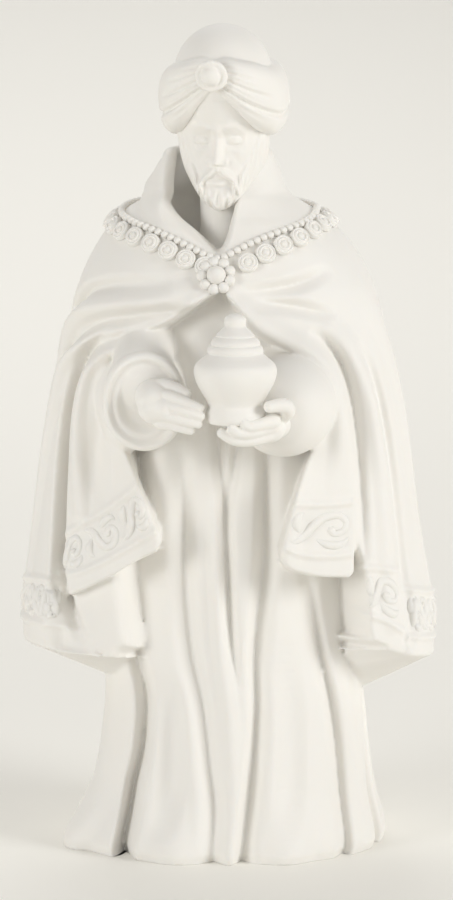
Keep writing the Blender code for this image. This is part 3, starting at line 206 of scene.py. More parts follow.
# Cords along the embroidered borders: lift, width, and the lines they follow (angle, height).
CORD_LIFT = 0.75
CORD_WIDTH = 1.05
BORDER_CORDS = [
    [(-66, 63), (-58, 66.2), (-49, 69.6), (-41, 73), (-34, 76.4)],
    [(-63, 56.4), (-55, 57.6), (-46, 60.4), (-36, 64), (-27, 67.4)],
    [(25.5, 72.6), (32, 72), (41, 71.8), (52, 72)],
    [(23.5, 63.8), (30, 62.2), (40, 61.6), (50, 61.8)],
    [(-59, 54), (-66, 55), (-76, 54.6), (-89, 53.6), (-120, 52), (-150, 51), (-180, 50.4)],
    [(-38, 42.4), (-46, 43.4), (-54, 45.2), (-66, 46.2), (-79, 46), (-120, 44.4), (-150, 43.4), (-180, 43)],
    [(51, 58.6), (54, 58.5), (58, 58.2), (64, 57.4)],
    [(50.5, 49.4), (54, 48.7), (58, 47.6), (63, 45.4)],
    [(66.5, 53.4), (74, 52.2), (84, 51), (100, 50.4), (130, 50), (180, 50.4)],
    [(65.5, 43.8), (74, 42.8), (84, 41.8), (100, 42), (150, 42.8), (180, 43)],
]

# How low the robe's surface runs below the ground, where the flat underside is cut. Then the shares of the
# way over the clothes at which the hollow's floor, its wall, the rim and the outside end.
RUN_BELOW = -4.0
WAY_ENDS = [0.0, 0.02, 0.12, 0.15, 0.985, 1.0]

# Collar: wall, the lowest point of its hollow's floor, then the floor's outer edge and the collar's top edge
# as (angle, height). The hollow inside is (height, radius).
COLLAR_WALL = 3.0
COLLAR_LOW = 117.0
COLLAR_FLOOR = [(-180, 132), (-110, 132), (-85, 131), (-68, 128.5), (-54, 124.5), (-40, 120.6),
    (-26, 118.4), (-12, 118), (20, 118), (34, 120.6), (50, 125), (68, 129.5), (90, 132), (180, 132)]
COLLAR_TOP = [(-180, 140.2), (-110, 140.2), (-78, 139.8), (-65, 138.6), (-56, 136), (-51, 132.6),
    (-46, 130), (-38, 127.6), (-25, 125.2), (-12, 122.4), (-4, 121.2), (3, 123.6), (11, 128), (23, 132.8),
    (38, 136), (55, 138.6), (75, 140), (110, 140.2), (180, 140.2)]
HOLLOW = [(116, 8.5), (121, 10.5), (126, 12.0), (132, 12.8), (146, 12.8)]

# Throat: height, shift forward, half width, half depth, and the share of the way that closes each end.
THROAT = [(106, 2.0, 10.4, 10.0), (114, 2.6, 9.2, 9.8), (119, 2.6, 6.8, 9.0), (123, 2.8, 5.4, 7.2),
    (128, 3.8, 5.2, 6.0), (140, 6.0, 5.8, 6.4)]
THROAT_END = 0.03

# Necklace: the upper string and the string of discs, as lines of (angle, height).
STRING = [(-180, 128.2), (-130, 128.8), (-96, 128), (-70, 126.8), (-46, 125), (-29, 123), (-12, 120.4),
    (-3, 119.6), (4, 120.6), (21, 123), (42, 125), (77, 127.6), (96, 127.8), (130, 128.6), (180, 128.2)]
DISC_LINE = [(-6, 117.6), (-19, 119), (-37, 121.6), (-60, 124), (-93, 126), (-130, 126.2), (-180, 126),
    (-230, 126.2), (-267, 126), (-292, 125.6), (-317, 123), (-340, 120), (-352, 117.8)]
DISC_SPACING = 3.95
DISC_OUT = 0.5
PENDANT = (-5.0, 116.3)
PETALS = 9
PETAL_RADIUS = 1.12
PETAL_RING = 2.8

# Head: the centre of the skull, its nod and its turn in degrees. Its own rows are in parts from that centre,
# as (height, half width, depth to the front, depth to the back), with the roundness of its plan and the share
# of the way that closes each end.
HEAD_AT = (-0.5, -7.0, 148.6)
HEAD_NOD = 14.0
HEAD_TURN = -10.0
HEAD = [(-18.8, 1.0, 7.4, 0.4), (-18.2, 2.6, 8.8, 0.6), (-16.9, 4.6, 9.8, 0.9), (-15, 6.2, 10.2, 1.3),
    (-12, 7.5, 10.1, 2.4), (-9, 8.3, 9.5, 4.4), (-6, 8.7, 8.9, 7.0), (-3, 8.8, 8.9, 8.8),
    (0, 8.6, 9.2, 9.8), (4, 8.5, 9.6, 10.2), (8, 8.0, 9.0, 9.4), (11, 6.2, 6.8, 7.2), (13, 3.0, 3.4, 4.0)]
HEAD_POWER = 2.1
HEAD_END = 0.02

# Turban: the cap's centre, half width, half depth and height; then the wrap as rows of (angle from the front,
# middle height, half height, thickness), the same on both sides, on a core of its own half width and depths.
# The outside takes the middle part of the way round the band and is rounded by its own power.
CAP = (0.0, 0.4, 6.3)
CAP_SIZE = (9.8, 10.2, 10.5)
WRAP_CORE = (9.2, 8.8, 10.2)
WRAP_HALF = [(0, 9.3, 3.0, 2.4), (17, 8.2, 4.4, 2.8), (35, 6.0, 5.9, 3.3), (55, 3.9, 6.9, 3.5),
    (80, 2.0, 7.0, 3.6), (120, 1.6, 6.7, 3.8), (180, 2.2, 6.4, 3.4)]
WRAP = [(-angle, *row) for angle, *row in WRAP_HALF[:0:-1]] + WRAP_HALF
WRAP_TURN = 0.8
WRAP_POWER = 2.4
KNOT_AT = (0.0, -12.0, 10.2)

# Sleeves: path of the arm and rows of (share of the path, radius), the left one turned in at its mouth and
# with the upper sleeve, rounded limbs like those of the hands, coming down to it.
LEFT_ARM = [(-12.0, -3.0, 93.0), (-15.0, -13.0, 93.6), (-16.2, -24.0, 93.6), (-15.9, -33.0, 93.2)]
UPPER_SLEEVE = [
    ([(-15.6, -7.0, 103.6), (-16.0, -14.0, 102.2), (-16.3, -21.0, 99.4), (-16.2, -28.0, 96.6)], [5.6, 5.8,
        6.0, 6.6]),
    ([(-17.0, -6.0, 100.0), (-19.6, -13.0, 96.5), (-20.2, -18.5, 91.0), (-19.6, -20.0, 86.0)], [5.6, 6.0,
        5.8, 4.6]),
]
LEFT_SLEEVE = [(0.0, 0.0), (0.02, 5.6), (0.3, 7.4), (0.6, 8.2), (0.85, 8.7), (0.96, 8.95), (1.01, 8.8),
    (1.03, 8.1), (1.015, 7.5), (0.998, 7.1), (0.995, 6.7), (1.005, 6.2), (1.0, 5.7), (0.985, 5.1),
    (0.965, 4.4), (0.955, 3.2), (0.95, 0.0)]
MOUTH_STRETCH = 0.085
RIGHT_ARM = [(8.5, -3.0, 95.4), (11.0, -12.0, 94.0), (11.8, -20.0, 92.0), (10.8, -26.5, 90.9)]
RIGHT_SLEEVE = [(0.0, 0.0), (0.02, 6.5), (0.3, 8.4), (0.6, 9.5), (0.85, 10.0), (1.0, 9.7), (1.12, 8.4),
    (1.24, 6.0), (1.3, 3.0), (1.32, 0.0)]

# Hands, as rows of rounded limbs: a path and the radius at each of its points.
LEFT_HAND = [
    ([(-14.8, -25.0, 94.4), (-14.2, -33.0, 94.4), (-13.8, -35.2, 94.0)], [4.0, 3.7, 3.5]),
    ([(-13.8, -35.2, 92.6), (-12.0, -36.6, 92.4)], [3.5, 2.9]),
    ([(-12.8, -36.4, 94.9), (-10.8, -37.6, 94.9), (-8.0, -38.6, 94.0), (-5.0, -39.2, 92.9)], [1.3, 1.12,
        1.05, 0.85]),
    ([(-13.0, -37.2, 93.1), (-10.8, -38.3, 93.0), (-7.6, -39.3, 92.2), (-4.9, -39.7, 91.3)], [1.3, 1.12,
        1.05, 0.85]),
    ([(-13.0, -37.2, 91.3), (-10.8, -38.2, 91.1), (-7.8, -39.1, 90.4), (-5.4, -39.5, 89.8)], [1.3, 1.12,
        1.05, 0.85]),
    ([(-12.8, -36.4, 89.6), (-10.8, -37.4, 89.4), (-8.6, -38.1, 88.8), (-6.8, -38.5, 88.4)], [1.3, 1.1,
        0.95, 0.8]),
    ([(-14.0, -34.2, 95.8), (-12.0, -35.2, 96.7), (-9.6, -36.4, 96.3), (-7.6, -37.4, 95.4)], [1.8, 1.45,
        1.2, 1.0]),
]
RIGHT_HAND = [
    ([(12.0, -27.0, 90.4), (9.8, -32.0, 89.4), (7.0, -35.0, 88.6)], [3.8, 3.4, 3.0]),
    ([(8.6, -35.0, 88.4), (4.6, -36.4, 87.9), (1.0, -36.4, 88.2)], [2.8, 2.7, 2.2]),
    ([(9.2, -35.5, 88.0), (5.5, -38.5, 86.9), (1.8, -40.0, 86.9), (-0.8, -40.2, 88.2)], [1.7, 1.5, 1.35,
        1.1]),
    ([(8.8, -37.0, 89.2), (5.2, -39.9, 88.4), (2.6, -41.1, 88.3), (1.0, -41.4, 89.2)], [1.6, 1.35, 1.2,
        1.0]),
    ([(9.0, -38.0, 90.2), (6.2, -40.3, 89.8), (4.4, -41.3, 89.6), (3.4, -41.5, 90.3)], [1.5, 1.25, 1.1,
        0.95]),
    ([(9.6, -33.5, 90.5), (11.6, -36.5, 92.0), (10.8, -39.2, 93.4), (8.2, -40.8, 93.3)], [2.0, 1.7, 1.45,
        1.15]),
]

# Jar: its axis and its turned profile as (height, radius), from the foot to the knob.
JAR_AXIS = (1.7, -36.5)
JAR = [(89.6, 0.0), (89.6, 4.5), (89.8, 5.3), (90.6, 5.75), (91.8, 5.7), (92.6, 5.4), (93.3, 5.3),
    (94.2, 5.7), (95.3, 6.35), (96.6, 7.1), (98.0, 7.7), (99.3, 8.0), (100.3, 7.95), (101.1, 7.6),
    (101.8, 6.9), (102.4, 6.15), (102.9, 5.6), (103.15, 5.35), (103.5, 5.4), (104.0, 5.35), (104.5, 5.1),
    (104.8, 4.8), (105.1, 4.8), (105.6, 4.6), (106.1, 4.15), (106.4, 3.75), (106.7, 3.7), (107.2, 3.25),
    (107.8, 2.65), (108.3, 2.15), (108.7, 2.05), (109.1, 2.1), (109.6, 2.1), (110.2, 1.8), (110.7, 1.1),
    (110.9, 0.0)]


def smooth_path(rows, steps=10):
    """Points on a smooth curve through the given rows."""
    p = np.asarray(rows, float)
    p = np.vstack([2 * p[0] - p[1], p, 2 * p[-1] - p[-2]])
    t = np.linspace(0, 1, steps, endpoint=False)[:, None]
    out = []
    for a, b, c, d in zip(p, p[1:], p[2:], p[3:]):
        out.append(0.5 * (2 * b + (c - a) * t + (2 * a - 5 * b + 4 * c - d) * t ** 2
                          + (3 * b - a - 3 * c + d) * t ** 3))
    out.append(p[-2][None])
    return np.vstack(out)


def read_rows(rows, at):
    """The table's other columns, read off smoothly where its first column is `at`."""
    t = smooth_path(rows)
    return [np.interp(at, t[:, 0], t[:, k]) for k in range(1, t.shape[1])]


def smoothstep(low, high, value):
    """A share from 0 at the low value to 1 at the high one, with soft ends."""
    t = np.clip((value - low) / (high - low), 0, 1)
    return t * t * (3 - 2 * t)


def oval(half_width, front, back, angle, power=PLAN_POWER):
    """Radius of a rounded plan with its own depth to the front and to the back."""
    s, c = np.abs(np.sin(angle)), np.cos(angle)
    depth = np.where(c > 0, front, back)
    return ((s / half_width) ** power + (np.abs(c) / depth) ** power) ** (-1 / power)


def plan_of(rows):
    """A function that gives the smooth radius of a body at an angle and a height."""
    return lambda angle, z: oval(*read_rows(rows, z), angle)


def on_plan(radius, angle, z):
    """Points at a radius, an angle from the front and a height."""
    return np.stack([radius * np.sin(angle), -radius * np.cos(angle), z], -1)


def stroke(lift, points, base, fold):
    """Adds one fold's lift at the points, measured along the smooth base."""
    left, right, creased, rows = fold
    path = smooth_path(rows)
    spots = on_plan(base(np.radians(path[:, 0]), path[:, 1]), np.radians(path[:, 0]), path[:, 1])
    reach = max(left, right)
    near = np.all((points > spots.min(0) - reach) & (points < spots.max(0) + reach), axis=1)
    index = np.nonzero(near)[0]
    if len(index) == 0:
        return
    p = points[index]
    away = (p ** 2).sum(1)[:, None] + (spots ** 2).sum(1)[None] - 2 * p @ spots.T
    k = np.argmin(away, axis=1)
    along = np.gradient(spots, axis=0)
    pace = np.linalg.norm(along, axis=1)
    along = along / pace[:, None]
    off = p - spots[k]
    slide = np.clip((off * along[k]).sum(1), -0.6 * pace[k], 0.6 * pace[k])
    off = off - along[k] * slide[:, None]
    out = np.stack([spots[:, 0], spots[:, 1], 0 * spots[:, 0]], 1)
    out = out / (np.linalg.norm(out, axis=1)[:, None] + 1e-9)
    hand = (off * np.cross(along, out)[k]).sum(1)
    x = np.clip(np.linalg.norm(off, axis=1) / np.where(hand < 0, left, right), 0, 1)
    shape = (1 - x ** (1.25 if creased else 2.0)) ** 2
    lift[index] += shape * path[k, 2]


def lifts(base, folds, angle, z):
    """How far all the folds together raise or press the base at each point."""
    points = on_plan(base(angle, z), angle, z)
    lift = np.zeros(len(angle))
    for fold in folds:
        stroke(lift, points, base, fold)
    return lift


def carved(base, lift, angle, z):
    """Points of the base moved by their lift: straight to the front there, and outwards round the sides."""
    spots = on_plan(base(angle, z), angle, z)
    turned = angle * smoothstep(FRONT_UNTIL, SIDE_FROM, np.abs(angle))
    return spots + on_plan(lift, turned, 0 * z)


def inside(angle, z, outline):
    """How deep each point lies within a closed outline on the cloth, negative outside it, and how far the
    nearest edge faces sideways there: to larger angles above nought, to smaller ones below it."""
    u = angle * GIRTH
    corners = np.array([(math.radians(a) * GIRTH, h) for a, h in outline])
    best = np.full(len(u), 1e9)
    sideways = np.zeros(len(u))
    odd = np.zeros(len(u), bool)
    for (ax, az), (bx, bz) in zip(corners, np.roll(corners, -1, axis=0)):
        dx, dz = bx - ax, bz - az
        t = np.clip(((u - ax) * dx + (z - az) * dz) / (dx * dx + dz * dz + 1e-12), 0, 1)
        away = (u - ax - t * dx) ** 2 + (z - az - t * dz) ** 2
        sideways = np.where(away < best, np.sign(u - ax - t * dx) * abs(dz) / math.hypot(dx, dz), sideways)
        best = np.minimum(best, away)
        if az != bz:
            odd ^= ((az > z) != (bz > z)) & (u < ax + (z - az) * dx / dz)
    return np.where(odd, 1, -1) * np.sqrt(best), np.where(odd, -sideways, sideways)


def rolled(depth, roll):
    """Share of the cloth's height near its rounded edge."""
    return np.sqrt(1 - (1 - np.clip(depth / roll, 0, 1)) ** 2)[:, None]


def tucked(side, angle, depth, faces, drop):
    """The angle at which the surface under a cloth is met, so that its front edge drops straight back."""
    tuck = np.clip(drop * np.tan(np.minimum(np.abs(angle), 1.2)), 0, TUCK_MOST) * np.maximum(-side * faces, 0)
    return angle + side * tuck * np.clip(1 + depth / TUCK_REACH, 0, 1) / GIRTH


def outline_of(*lines, corners=()):
    """A closed outline of smooth lines, one after another, and plain corners."""
    rows = []
    for line in lines:
        rows += [tuple(r) for r in smooth_path(line, 6)]
    return rows + list(corners)


def back_folds():
    """Long plain folds down the back of the robe and of the cloak."""
    robe = [(3.4, 3.4, True, [(a, 44, 0.0), (a, 24, -0.6 * d), (a, 8, -d), (a, -5, -d)])
            for a, d in ROBE_BACK_FOLDS]
    cloak = [(4.6, 4.6, lift < 0, [(a, top, 0.0), (a, top - 14, 0.6 * lift), (a, 66, lift), (a, 36, lift)])
             for a, top, lift in CLOAK_BACK_FOLDS]
    return robe, cloak


def robe_spots(angle, z):
    base = plan_of(ROBE)
    return carved(base, lifts(base, ROBE_FOLDS + back_folds()[0], angle, z), angle, z)


def cloak_lift(angle, z):
    """Lift of the cloak's folds, and of the cords along its borders."""
    base = plan_of(CLOAK)
    trims = [(CORD_WIDTH, CORD_WIDTH, False, [(a, h, CORD_LIFT) for a, h in line]) for line in BORDER_CORDS]
    return lifts(base, CLOAK_FOLDS + back_folds()[1], angle, z), lifts(base, trims, angle, z)


def behind(degrees):
    """How far the deeper layer lies behind the cloak's flaps."""
    low, high = (np.where(degrees < 0, left, right) for left, right in zip(LEFT_LEVEL, RIGHT_LEVEL))
    return LAYER_SET * (1 - smoothstep(low, high, degrees))


def layer_spots(side, angle, z):
    """The robe with the cloak's deeper layer over it and the cast slope under its hem."""
    edge, hem = (LEFT_LAYER_EDGE, LEFT_LAYER_HEM) if side < 0 else (RIGHT_LAYER_EDGE, RIGHT_LAYER_HEM)
    base = plan_of(CLOAK)
    corner = (side * LAYER_CORNER[0], LAYER_CORNER[1])
    depth, faces = inside(angle, z, outline_of(edge, hem, corners=[corner]))
    radius = base(angle, z)
    under = robe_spots(tucked(side, angle, depth, faces, radius - plan_of(ROBE)(angle, z)), z)
    degrees = np.degrees(angle)
    folds, trims = cloak_lift(angle, z)
    low = np.array(sorted(tuple(r) for r in smooth_path(hem, 6)))
    below = np.interp(degrees, low[:, 0], low[:, 1]) - z
    starts, full = UNDER_FROM[side]
    reach = smoothstep(starts, full, side * degrees)
    slope = radius + folds - UNDER_SET - UNDER_SLOPE * np.maximum(below, 0) / np.maximum(reach, UNDER_LEAST)
    fill = on_plan(np.maximum(slope, 0), angle, z)
    filled = (below > -HEM_ROLL) & (reach > UNDER_LEAST) & (slope > np.hypot(under[:, 0], under[:, 1]))
    under = np.where(filled[:, None], fill, under)
    bare = smoothstep(BORDER_FROM[side][0], BORDER_FROM[side][1], side * degrees) * (z < BORDER_BELOW)
    over = carved(base, folds + trims * bare - behind(degrees), angle, z)
    return under + (over - under) * rolled(depth, HEM_ROLL + (LAYER_ROLL[side] - HEM_ROLL) * np.abs(faces))


def clothes_outside(angle, z):
    """The outside of the robe with both layers of the cloak on it, all round."""
    spots = np.empty((len(angle), 3))
    for side in (-1, 1):
        here = (angle < 0) if side < 0 else (angle >= 0)
        a, h = angle[here], z[here]
        edge, hem, back, corners = (
            (LEFT_FRONT_EDGE, LEFT_FLAP_HEM, LEFT_FLAP_BACK, LEFT_CORNERS) if side < 0
            else (RIGHT_FRONT_EDGE, RIGHT_FLAP_HEM, RIGHT_FLAP_BACK, RIGHT_CORNERS))
        depth, faces = inside(a, h, outline_of(edge, hem, back, corners=corners))
        folds, trims = cloak_lift(a, h)
        over = carved(plan_of(CLOAK), folds + trims, a, h)
        level = layer_spots(side, a, h)
        drop = np.hypot(over[:, 0], over[:, 1]) - np.hypot(level[:, 0], level[:, 1])
        under = layer_spots(side, tucked(side, a, depth, faces, drop), h)
        spots[here] = under + (over - under) * rolled(depth, EDGE_ROLL)
    return spots


def lean_at(z):
    return read_rows(LEAN, z)[0]


def form(name, segments, rings, place):
    """A closed form: rings between two poles, put where `place` says for an angle and a share of the way."""
    angle = np.tile(np.linspace(-math.pi, math.pi, segments, endpoint=False), rings - 1)
    share = np.repeat(np.arange(1, rings) / rings, segments)
    spots = place(np.r_[0.0, angle, 0.0], np.r_[0.0, share, 1.0]) * UNIT
    ring = np.arange(segments)
    after = (ring + 1) % segments
    first = 1 + np.arange(rings - 2)[:, None] * segments
    quads = np.stack([first + ring, first + segments + ring, first + segments + after, first + after], -1)
    last = 1 + (rings - 2) * segments
    top = np.stack([ring * 0, 1 + ring, 1 + after], 1)
    bottom = np.stack([last + ring, ring * 0 + len(spots) - 1, last + after], 1)
    mesh = bpy.data.meshes.new(name)
    mesh.from_pydata(spots.tolist(), [], quads.reshape(-1, 4).tolist() + top.tolist() + bottom.tolist())
    obj = bpy.data.objects.new(name, mesh)
    bpy.context.scene.collection.objects.link(obj)
    return obj


def clothes_spots(angle, share):
    """Robe, cloak and collar: the floor inside the collar, its wall, its rim and the whole outside."""
    degrees = np.degrees(angle)
    top = read_rows(COLLAR_TOP, degrees)[0] - COLLAR_WALL / 2
    t = [np.clip((share - a) / (b - a), 0, 1) for a, b in zip(WAY_ENDS, WAY_ENDS[1:])]
    floor_end, wall_end, rim_end, side_end = WAY_ENDS[1:5]
    floor = read_rows(COLLAR_FLOOR, degrees)[0]
    z_in = COLLAR_LOW + (floor - COLLAR_LOW) * t[0] ** 2 + (top - floor) * t[1]
    z_out = top + (RUN_BELOW - top) * t[3]
    outer = clothes_outside(angle, z_out)
    outer[:, :2] *= np.where(share > side_end, 1 - t[4], 1.0)[:, None]
    rim_out = plan_of(CLOAK)(angle, top)
    rim_in = np.minimum(rim_out - COLLAR_WALL, read_rows(HOLLOW, top)[0])
    inner = np.minimum(plan_of(CLOAK)(angle, z_in) - COLLAR_WALL, read_rows(HOLLOW, z_in)[0])
    bend = t[2] * math.pi
    rim = (rim_out + rim_in) / 2 - (rim_out - rim_in) / 2 * np.cos(bend)
    radius = np.where(share < floor_end, inner * t[0], np.where(share < wall_end, inner, rim))
    z_rim = top + COLLAR_WALL / 2 * np.sin(bend)
    z = np.where(share < wall_end, z_in, np.where(share < rim_end, z_rim, z_out))
    spots = np.where((share < rim_end)[:, None], on_plan(radius, angle, z), outer)
    spots[:, 0] += lean_at(z)
    return spots


def on_cloak(degrees, height):
    """A point on the cloak and the way out from it."""
    step = 0.2
    angle = math.radians(degrees)
    base = plan_of(CLOAK)
    grid = np.array([(angle, height), (angle + step / 20, height), (angle, height + step)])
    p = on_plan(base(grid[:, 0], grid[:, 1]), grid[:, 0], grid[:, 1])
    p[:, 0] += lean_at(grid[:, 1])
    out = np.cross(p[1] - p[0], p[2] - p[0])
    return p[0], out / np.linalg.norm(out)


def frames(path):
    """Directions along a path and two across it that don't twist."""
    along = np.gradient(path, axis=0)
    along /= np.linalg.norm(along, axis=1)[:, None]
    side = np.cross(along[0], (0.0, 0.0, 1.0))
    if np.linalg.norm(side) < 0.1:
        side = np.array([1.0, 0.0, 0.0])
    sides = []
    for a in along:
        side = side - a * (side @ a)
        side = side / np.linalg.norm(side)
        sides.append(side)
    sides = np.array(sides)
    return along, sides, np.cross(sides, along)


def swept(name, path, rows, segments=32, rings=48, stretch=None, steps=16):
    """A round form swept along a path; the rows are (share of the path, radius), and `stretch` may give a
    factor on the radius for an angle and a radius."""
    line = smooth_path(path, steps)
    length = np.r_[0, np.cumsum(np.linalg.norm(np.diff(line, axis=0), axis=1))]
    along, side, up = frames(line)
    profile = smooth_path(rows, 10)
    arc = np.r_[0, np.cumsum(np.linalg.norm(np.diff(profile * (length[-1], 1), axis=0), axis=1))]

    def place(angle, share):
        at = share * arc[-1]
        t, r = (np.interp(at, arc, profile[:, k]) for k in (0, 1))
        r = np.maximum(r, 0)
        where = np.clip(t, 0, 1) * length[-1]
        centre, a, s, u = (np.stack([np.interp(where, length, c[:, k]) for k in range(3)], 1)
                           for c in (line, along, side, up))
        centre = centre + a * ((t - np.clip(t, 0, 1)) * length[-1])[:, None]
        if stretch:
            r = r * stretch(angle, r)
        return centre + (s * np.sin(angle)[:, None] - u * np.cos(angle)[:, None]) * r[:, None]
    return form(name, segments, rings, place)


def limb(name, path, radii, segments=20, rings=28):
    """A limb with rounded ends and its own radius at each point of its path."""
    length = sum(math.dist(a, b) for a, b in zip(path, path[1:]))
    shares = np.linspace(0, 1, len(radii))
    start = [(-radii[0] * c / length, radii[0] * s) for c, s in ((1, 0), (0.7, 0.7))]
    end = [(1 + radii[-1] * c / length, radii[-1] * s) for c, s in ((0.7, 0.7), (1, 0))]
    return swept(name, path, start + list(zip(shares, radii)) + end, segments, rings)


def ball(name, centre, size, turn=np.eye(3), segments=24, rings=16):
    def place(angle, share):
        s = np.sin(share * math.pi)
        p = np.stack([s * np.sin(angle), -s * np.cos(angle), np.cos(share * math.pi)], 1) * size
        return p @ np.asarray(turn).T + centre
    return form(name, segments, rings, place)


def facing(out):
    """A turn that puts the local z axis along a given way out."""
    side = np.cross((0.0, 0.0, 1.0), out)
    side /= np.linalg.norm(side)
    return np.stack([side, np.cross(out, side), out], 1)


def head_turn():
    nod, turn = math.radians(HEAD_NOD), math.radians(HEAD_TURN)
    about_x = np.array([[1, 0, 0], [0, math.cos(nod), -math.sin(nod)], [0, math.sin(nod), math.cos(nod)]])
    about_z = np.array([[math.cos(turn), -math.sin(turn), 0], [math.sin(turn), math.cos(turn), 0], [0, 0, 1]])
    return about_z @ about_x


def on_head(p):
    return np.asarray(p) @ head_turn().T + HEAD_AT


def head_base(angle, z):
    half, front, back = read_rows(HEAD, z)
    return oval(half, front, np.maximum(back, 0.5), angle, HEAD_POWER)


def way_down(rows, share, end):
    """Heights from the table's top row to its bottom one, and how far the form has opened from its ends."""
    low, high = rows[0][0], rows[-1][0]
    z = high + (low - high) * np.clip((share - end) / (1 - 2 * end), 0, 1)
    return z, np.clip(np.minimum(share, 1 - share) / end, 0, 1)


def throat_spots(angle, share):
    z, opened = way_down(THROAT, share, THROAT_END)
    forward, half, depth = read_rows(THROAT, z)
    p = on_plan(oval(half, depth, depth, angle) * opened, angle, z)
    p[:, 1] -= forward
    return p


# Moves the sculpt to its place in the frame, in parts.
CENTRE = (-0.25, 4.85, 0.0)

# Face, finer than in the solid, in the head's own angles and heights, mirrored to the other side.
FACE_PAIRS = [
    (1.1, 1.1, False, [(7, -2.2, 0.0), (15, -1.3, 0.3), (24, -1.1, 0.38), (32, -1.8, 0.25),
        (38, -3.0, 0.0)]),
    (2.4, 2.4, False, [(9, -3.8, -0.8), (20, -4.3, -0.9), (30, -4.4, -0.6), (37, -4.4, 0.0)]),
    (1.4, 1.4, False, [(12, -4.6, 0.2), (18, -4.4, 0.75), (24, -4.4, 0.8), (31, -4.6, 0.3)]),
    (0.34, 0.34, True, [(11, -5.0, -0.1), (16, -5.1, -0.35), (22, -5.15, -0.4), (28, -5.05, -0.35),
        (33, -4.8, -0.05)]),
    (0.4, 0.4, True, [(11, -4.3, -0.05), (17, -3.5, -0.2), (23, -3.3, -0.24), (29, -3.6, -0.2),
        (35, -4.5, 0.0)]),
    (0.7, 0.7, False, [(12, -5.6, 0.05), (20, -6.1, 0.16), (27, -6.0, 0.16), (33, -5.4, 0.0)]),
    (1.0, 1.0, False, [(6, -7.2, 0.1), (10, -8.0, 0.6), (8.5, -8.7, 0.4)]),
    (0.4, 0.4, True, [(12.5, -7.6, -0.1), (14, -8.4, -0.25), (13, -9.0, -0.15)]),
    (3.4, 3.4, False, [(22, -7.6, 0.0), (34, -6.4, 0.6), (48, -5.0, 0.3)]),
]
FACE_MIDDLE = [
    (1.6, 1.6, False, [(0, -0.6, 0.0), (0, -3.2, 0.7), (0, -5.4, 1.4), (0, -7.2, 2.1), (0, -8.1, 2.0),
        (0, -9.0, 0.2)]),
    (1.3, 1.3, False, [(0, -7.2, 0.2), (0, -8.0, 0.5), (0, -8.6, 0.2)]),
    (0.5, 0.5, True, [(-15, -11.9, -0.1), (-7, -11.6, -0.3), (0, -11.7, -0.3), (7, -11.6, -0.3),
        (15, -11.9, -0.1)]),
    (0.8, 0.8, False, [(-11, -12.4, 0.1), (0, -12.5, 0.6), (11, -12.4, 0.1)]),
]
# Edge of the beard, as (angle, height); its strands start a little inside it.
BEARD_EDGE = [(0, -13.3), (10, -13.2), (18, -12.4), (26, -10.8), (36, -8.6), (48, -6.0), (60, -3.2),
    (72, -0.4), (84, 2.0)]
# Its mass, over what depth below the edge that rises, and between what angles it fades to the back; its tip,
# how that rises to the sides, and how far the strands draw together there.
BEARD_MASS = 0.55
BEARD_RISE = (-0.3, 2.2)
BEARD_SIDE = (100, 80)
BEARD_REACH = 88
BEARD_TIP = -18.4
BEARD_TIP_RISE = 0.0009
BEARD_CLOSE = 0.72
# Strands: the angle between them, how far inside the edge they start, how far and how often they wave, their
# width, their lift from edge to tip, and how much flatter they are beyond an angle.
STRAND_STEP = 5.6
STRAND_INSIDE = 0.2
STRAND_WAVE = 2.2
STRAND_WAVES = 0.8
STRAND_WIDTH = 0.8
STRAND_LIFT = [0.04, 0.56, 0.76, 0.72, 0.4]
STRAND_FLAT = (40, 0.55)
# Moustache: its sweeps as (drop, lift), each along rows of (angle, height, share of the drop, share of the
# lift, lift of its own).
MOUSTACHE_WIDTH = 0.6
MOUSTACHE = [(0.0, 0.6), (0.5, 0.62), (1.0, 0.55)]
MOUSTACHE_PATH = [(1.2, -9.5, 0.55, 0.35, 0.0), (7, -9.7, 1.0, 1.0, 0.0), (15, -10.7, 1.0, 1.0, 0.0),
    (22, -12.2, 0.9, 0.8, 0.0), (27, -14.2, 0.5, 0.0, 0.2)]

# Turban: pleats as (place, depth, spread, width), the knot and the loop of cloth round it.
PLEATS = [(-0.66, 0.40, 60, 0.06), (-0.36, 0.95, 170, 0.08), (-0.12, 0.42, 52, 0.05), (0.1, 0.62, 70, 0.07),
    (0.3, 0.38, 46, 0.05), (0.5, 0.45, 56, 0.06), (0.72, 0.3, 38, 0.05)]
KNOT_BALL = (1.85, 1.6, 2.0)
KNOT_FORWARD = (0.0, -0.5, 0.0)
KNOT_LOOP = [(0.3, -0.4, 2.7), (-1.7, -0.2, 2.1), (-2.6, 0.0, 0.2), (-2.0, -0.1, -1.8), (-0.2, -0.2, -2.7)]
KNOT_LOOP_RADIUS = 0.62

# Necklace: beads of the upper string, then how far the pendant's boss and petals stand out, and the turned
# profiles of the boss and of a disc with its rings as (radius, height).
BEAD_RADIUS = 0.74
BEAD_SPACING = 1.46
BEAD_OUT = 0.5
DISC_PROFILE = [(0.0, 0.95), (0.45, 0.9), (0.7, 0.62), (0.85, 0.6), (1.05, 0.86), (1.25, 0.86),
    (1.42, 0.58), (1.55, 0.55), (1.75, 0.62), (1.92, 0.4), (1.98, 0.0), (1.9, -0.5), (0.0, -0.7)]
BOSS_OUT = 0.9
PETAL_OUT = 0.7
BOSS_PROFILE = [(0.0, 2.1), (0.7, 1.98), (1.35, 1.5), (1.78, 0.8), (1.9, 0.2), (1.9, -0.8), (0.0, -1.0)]

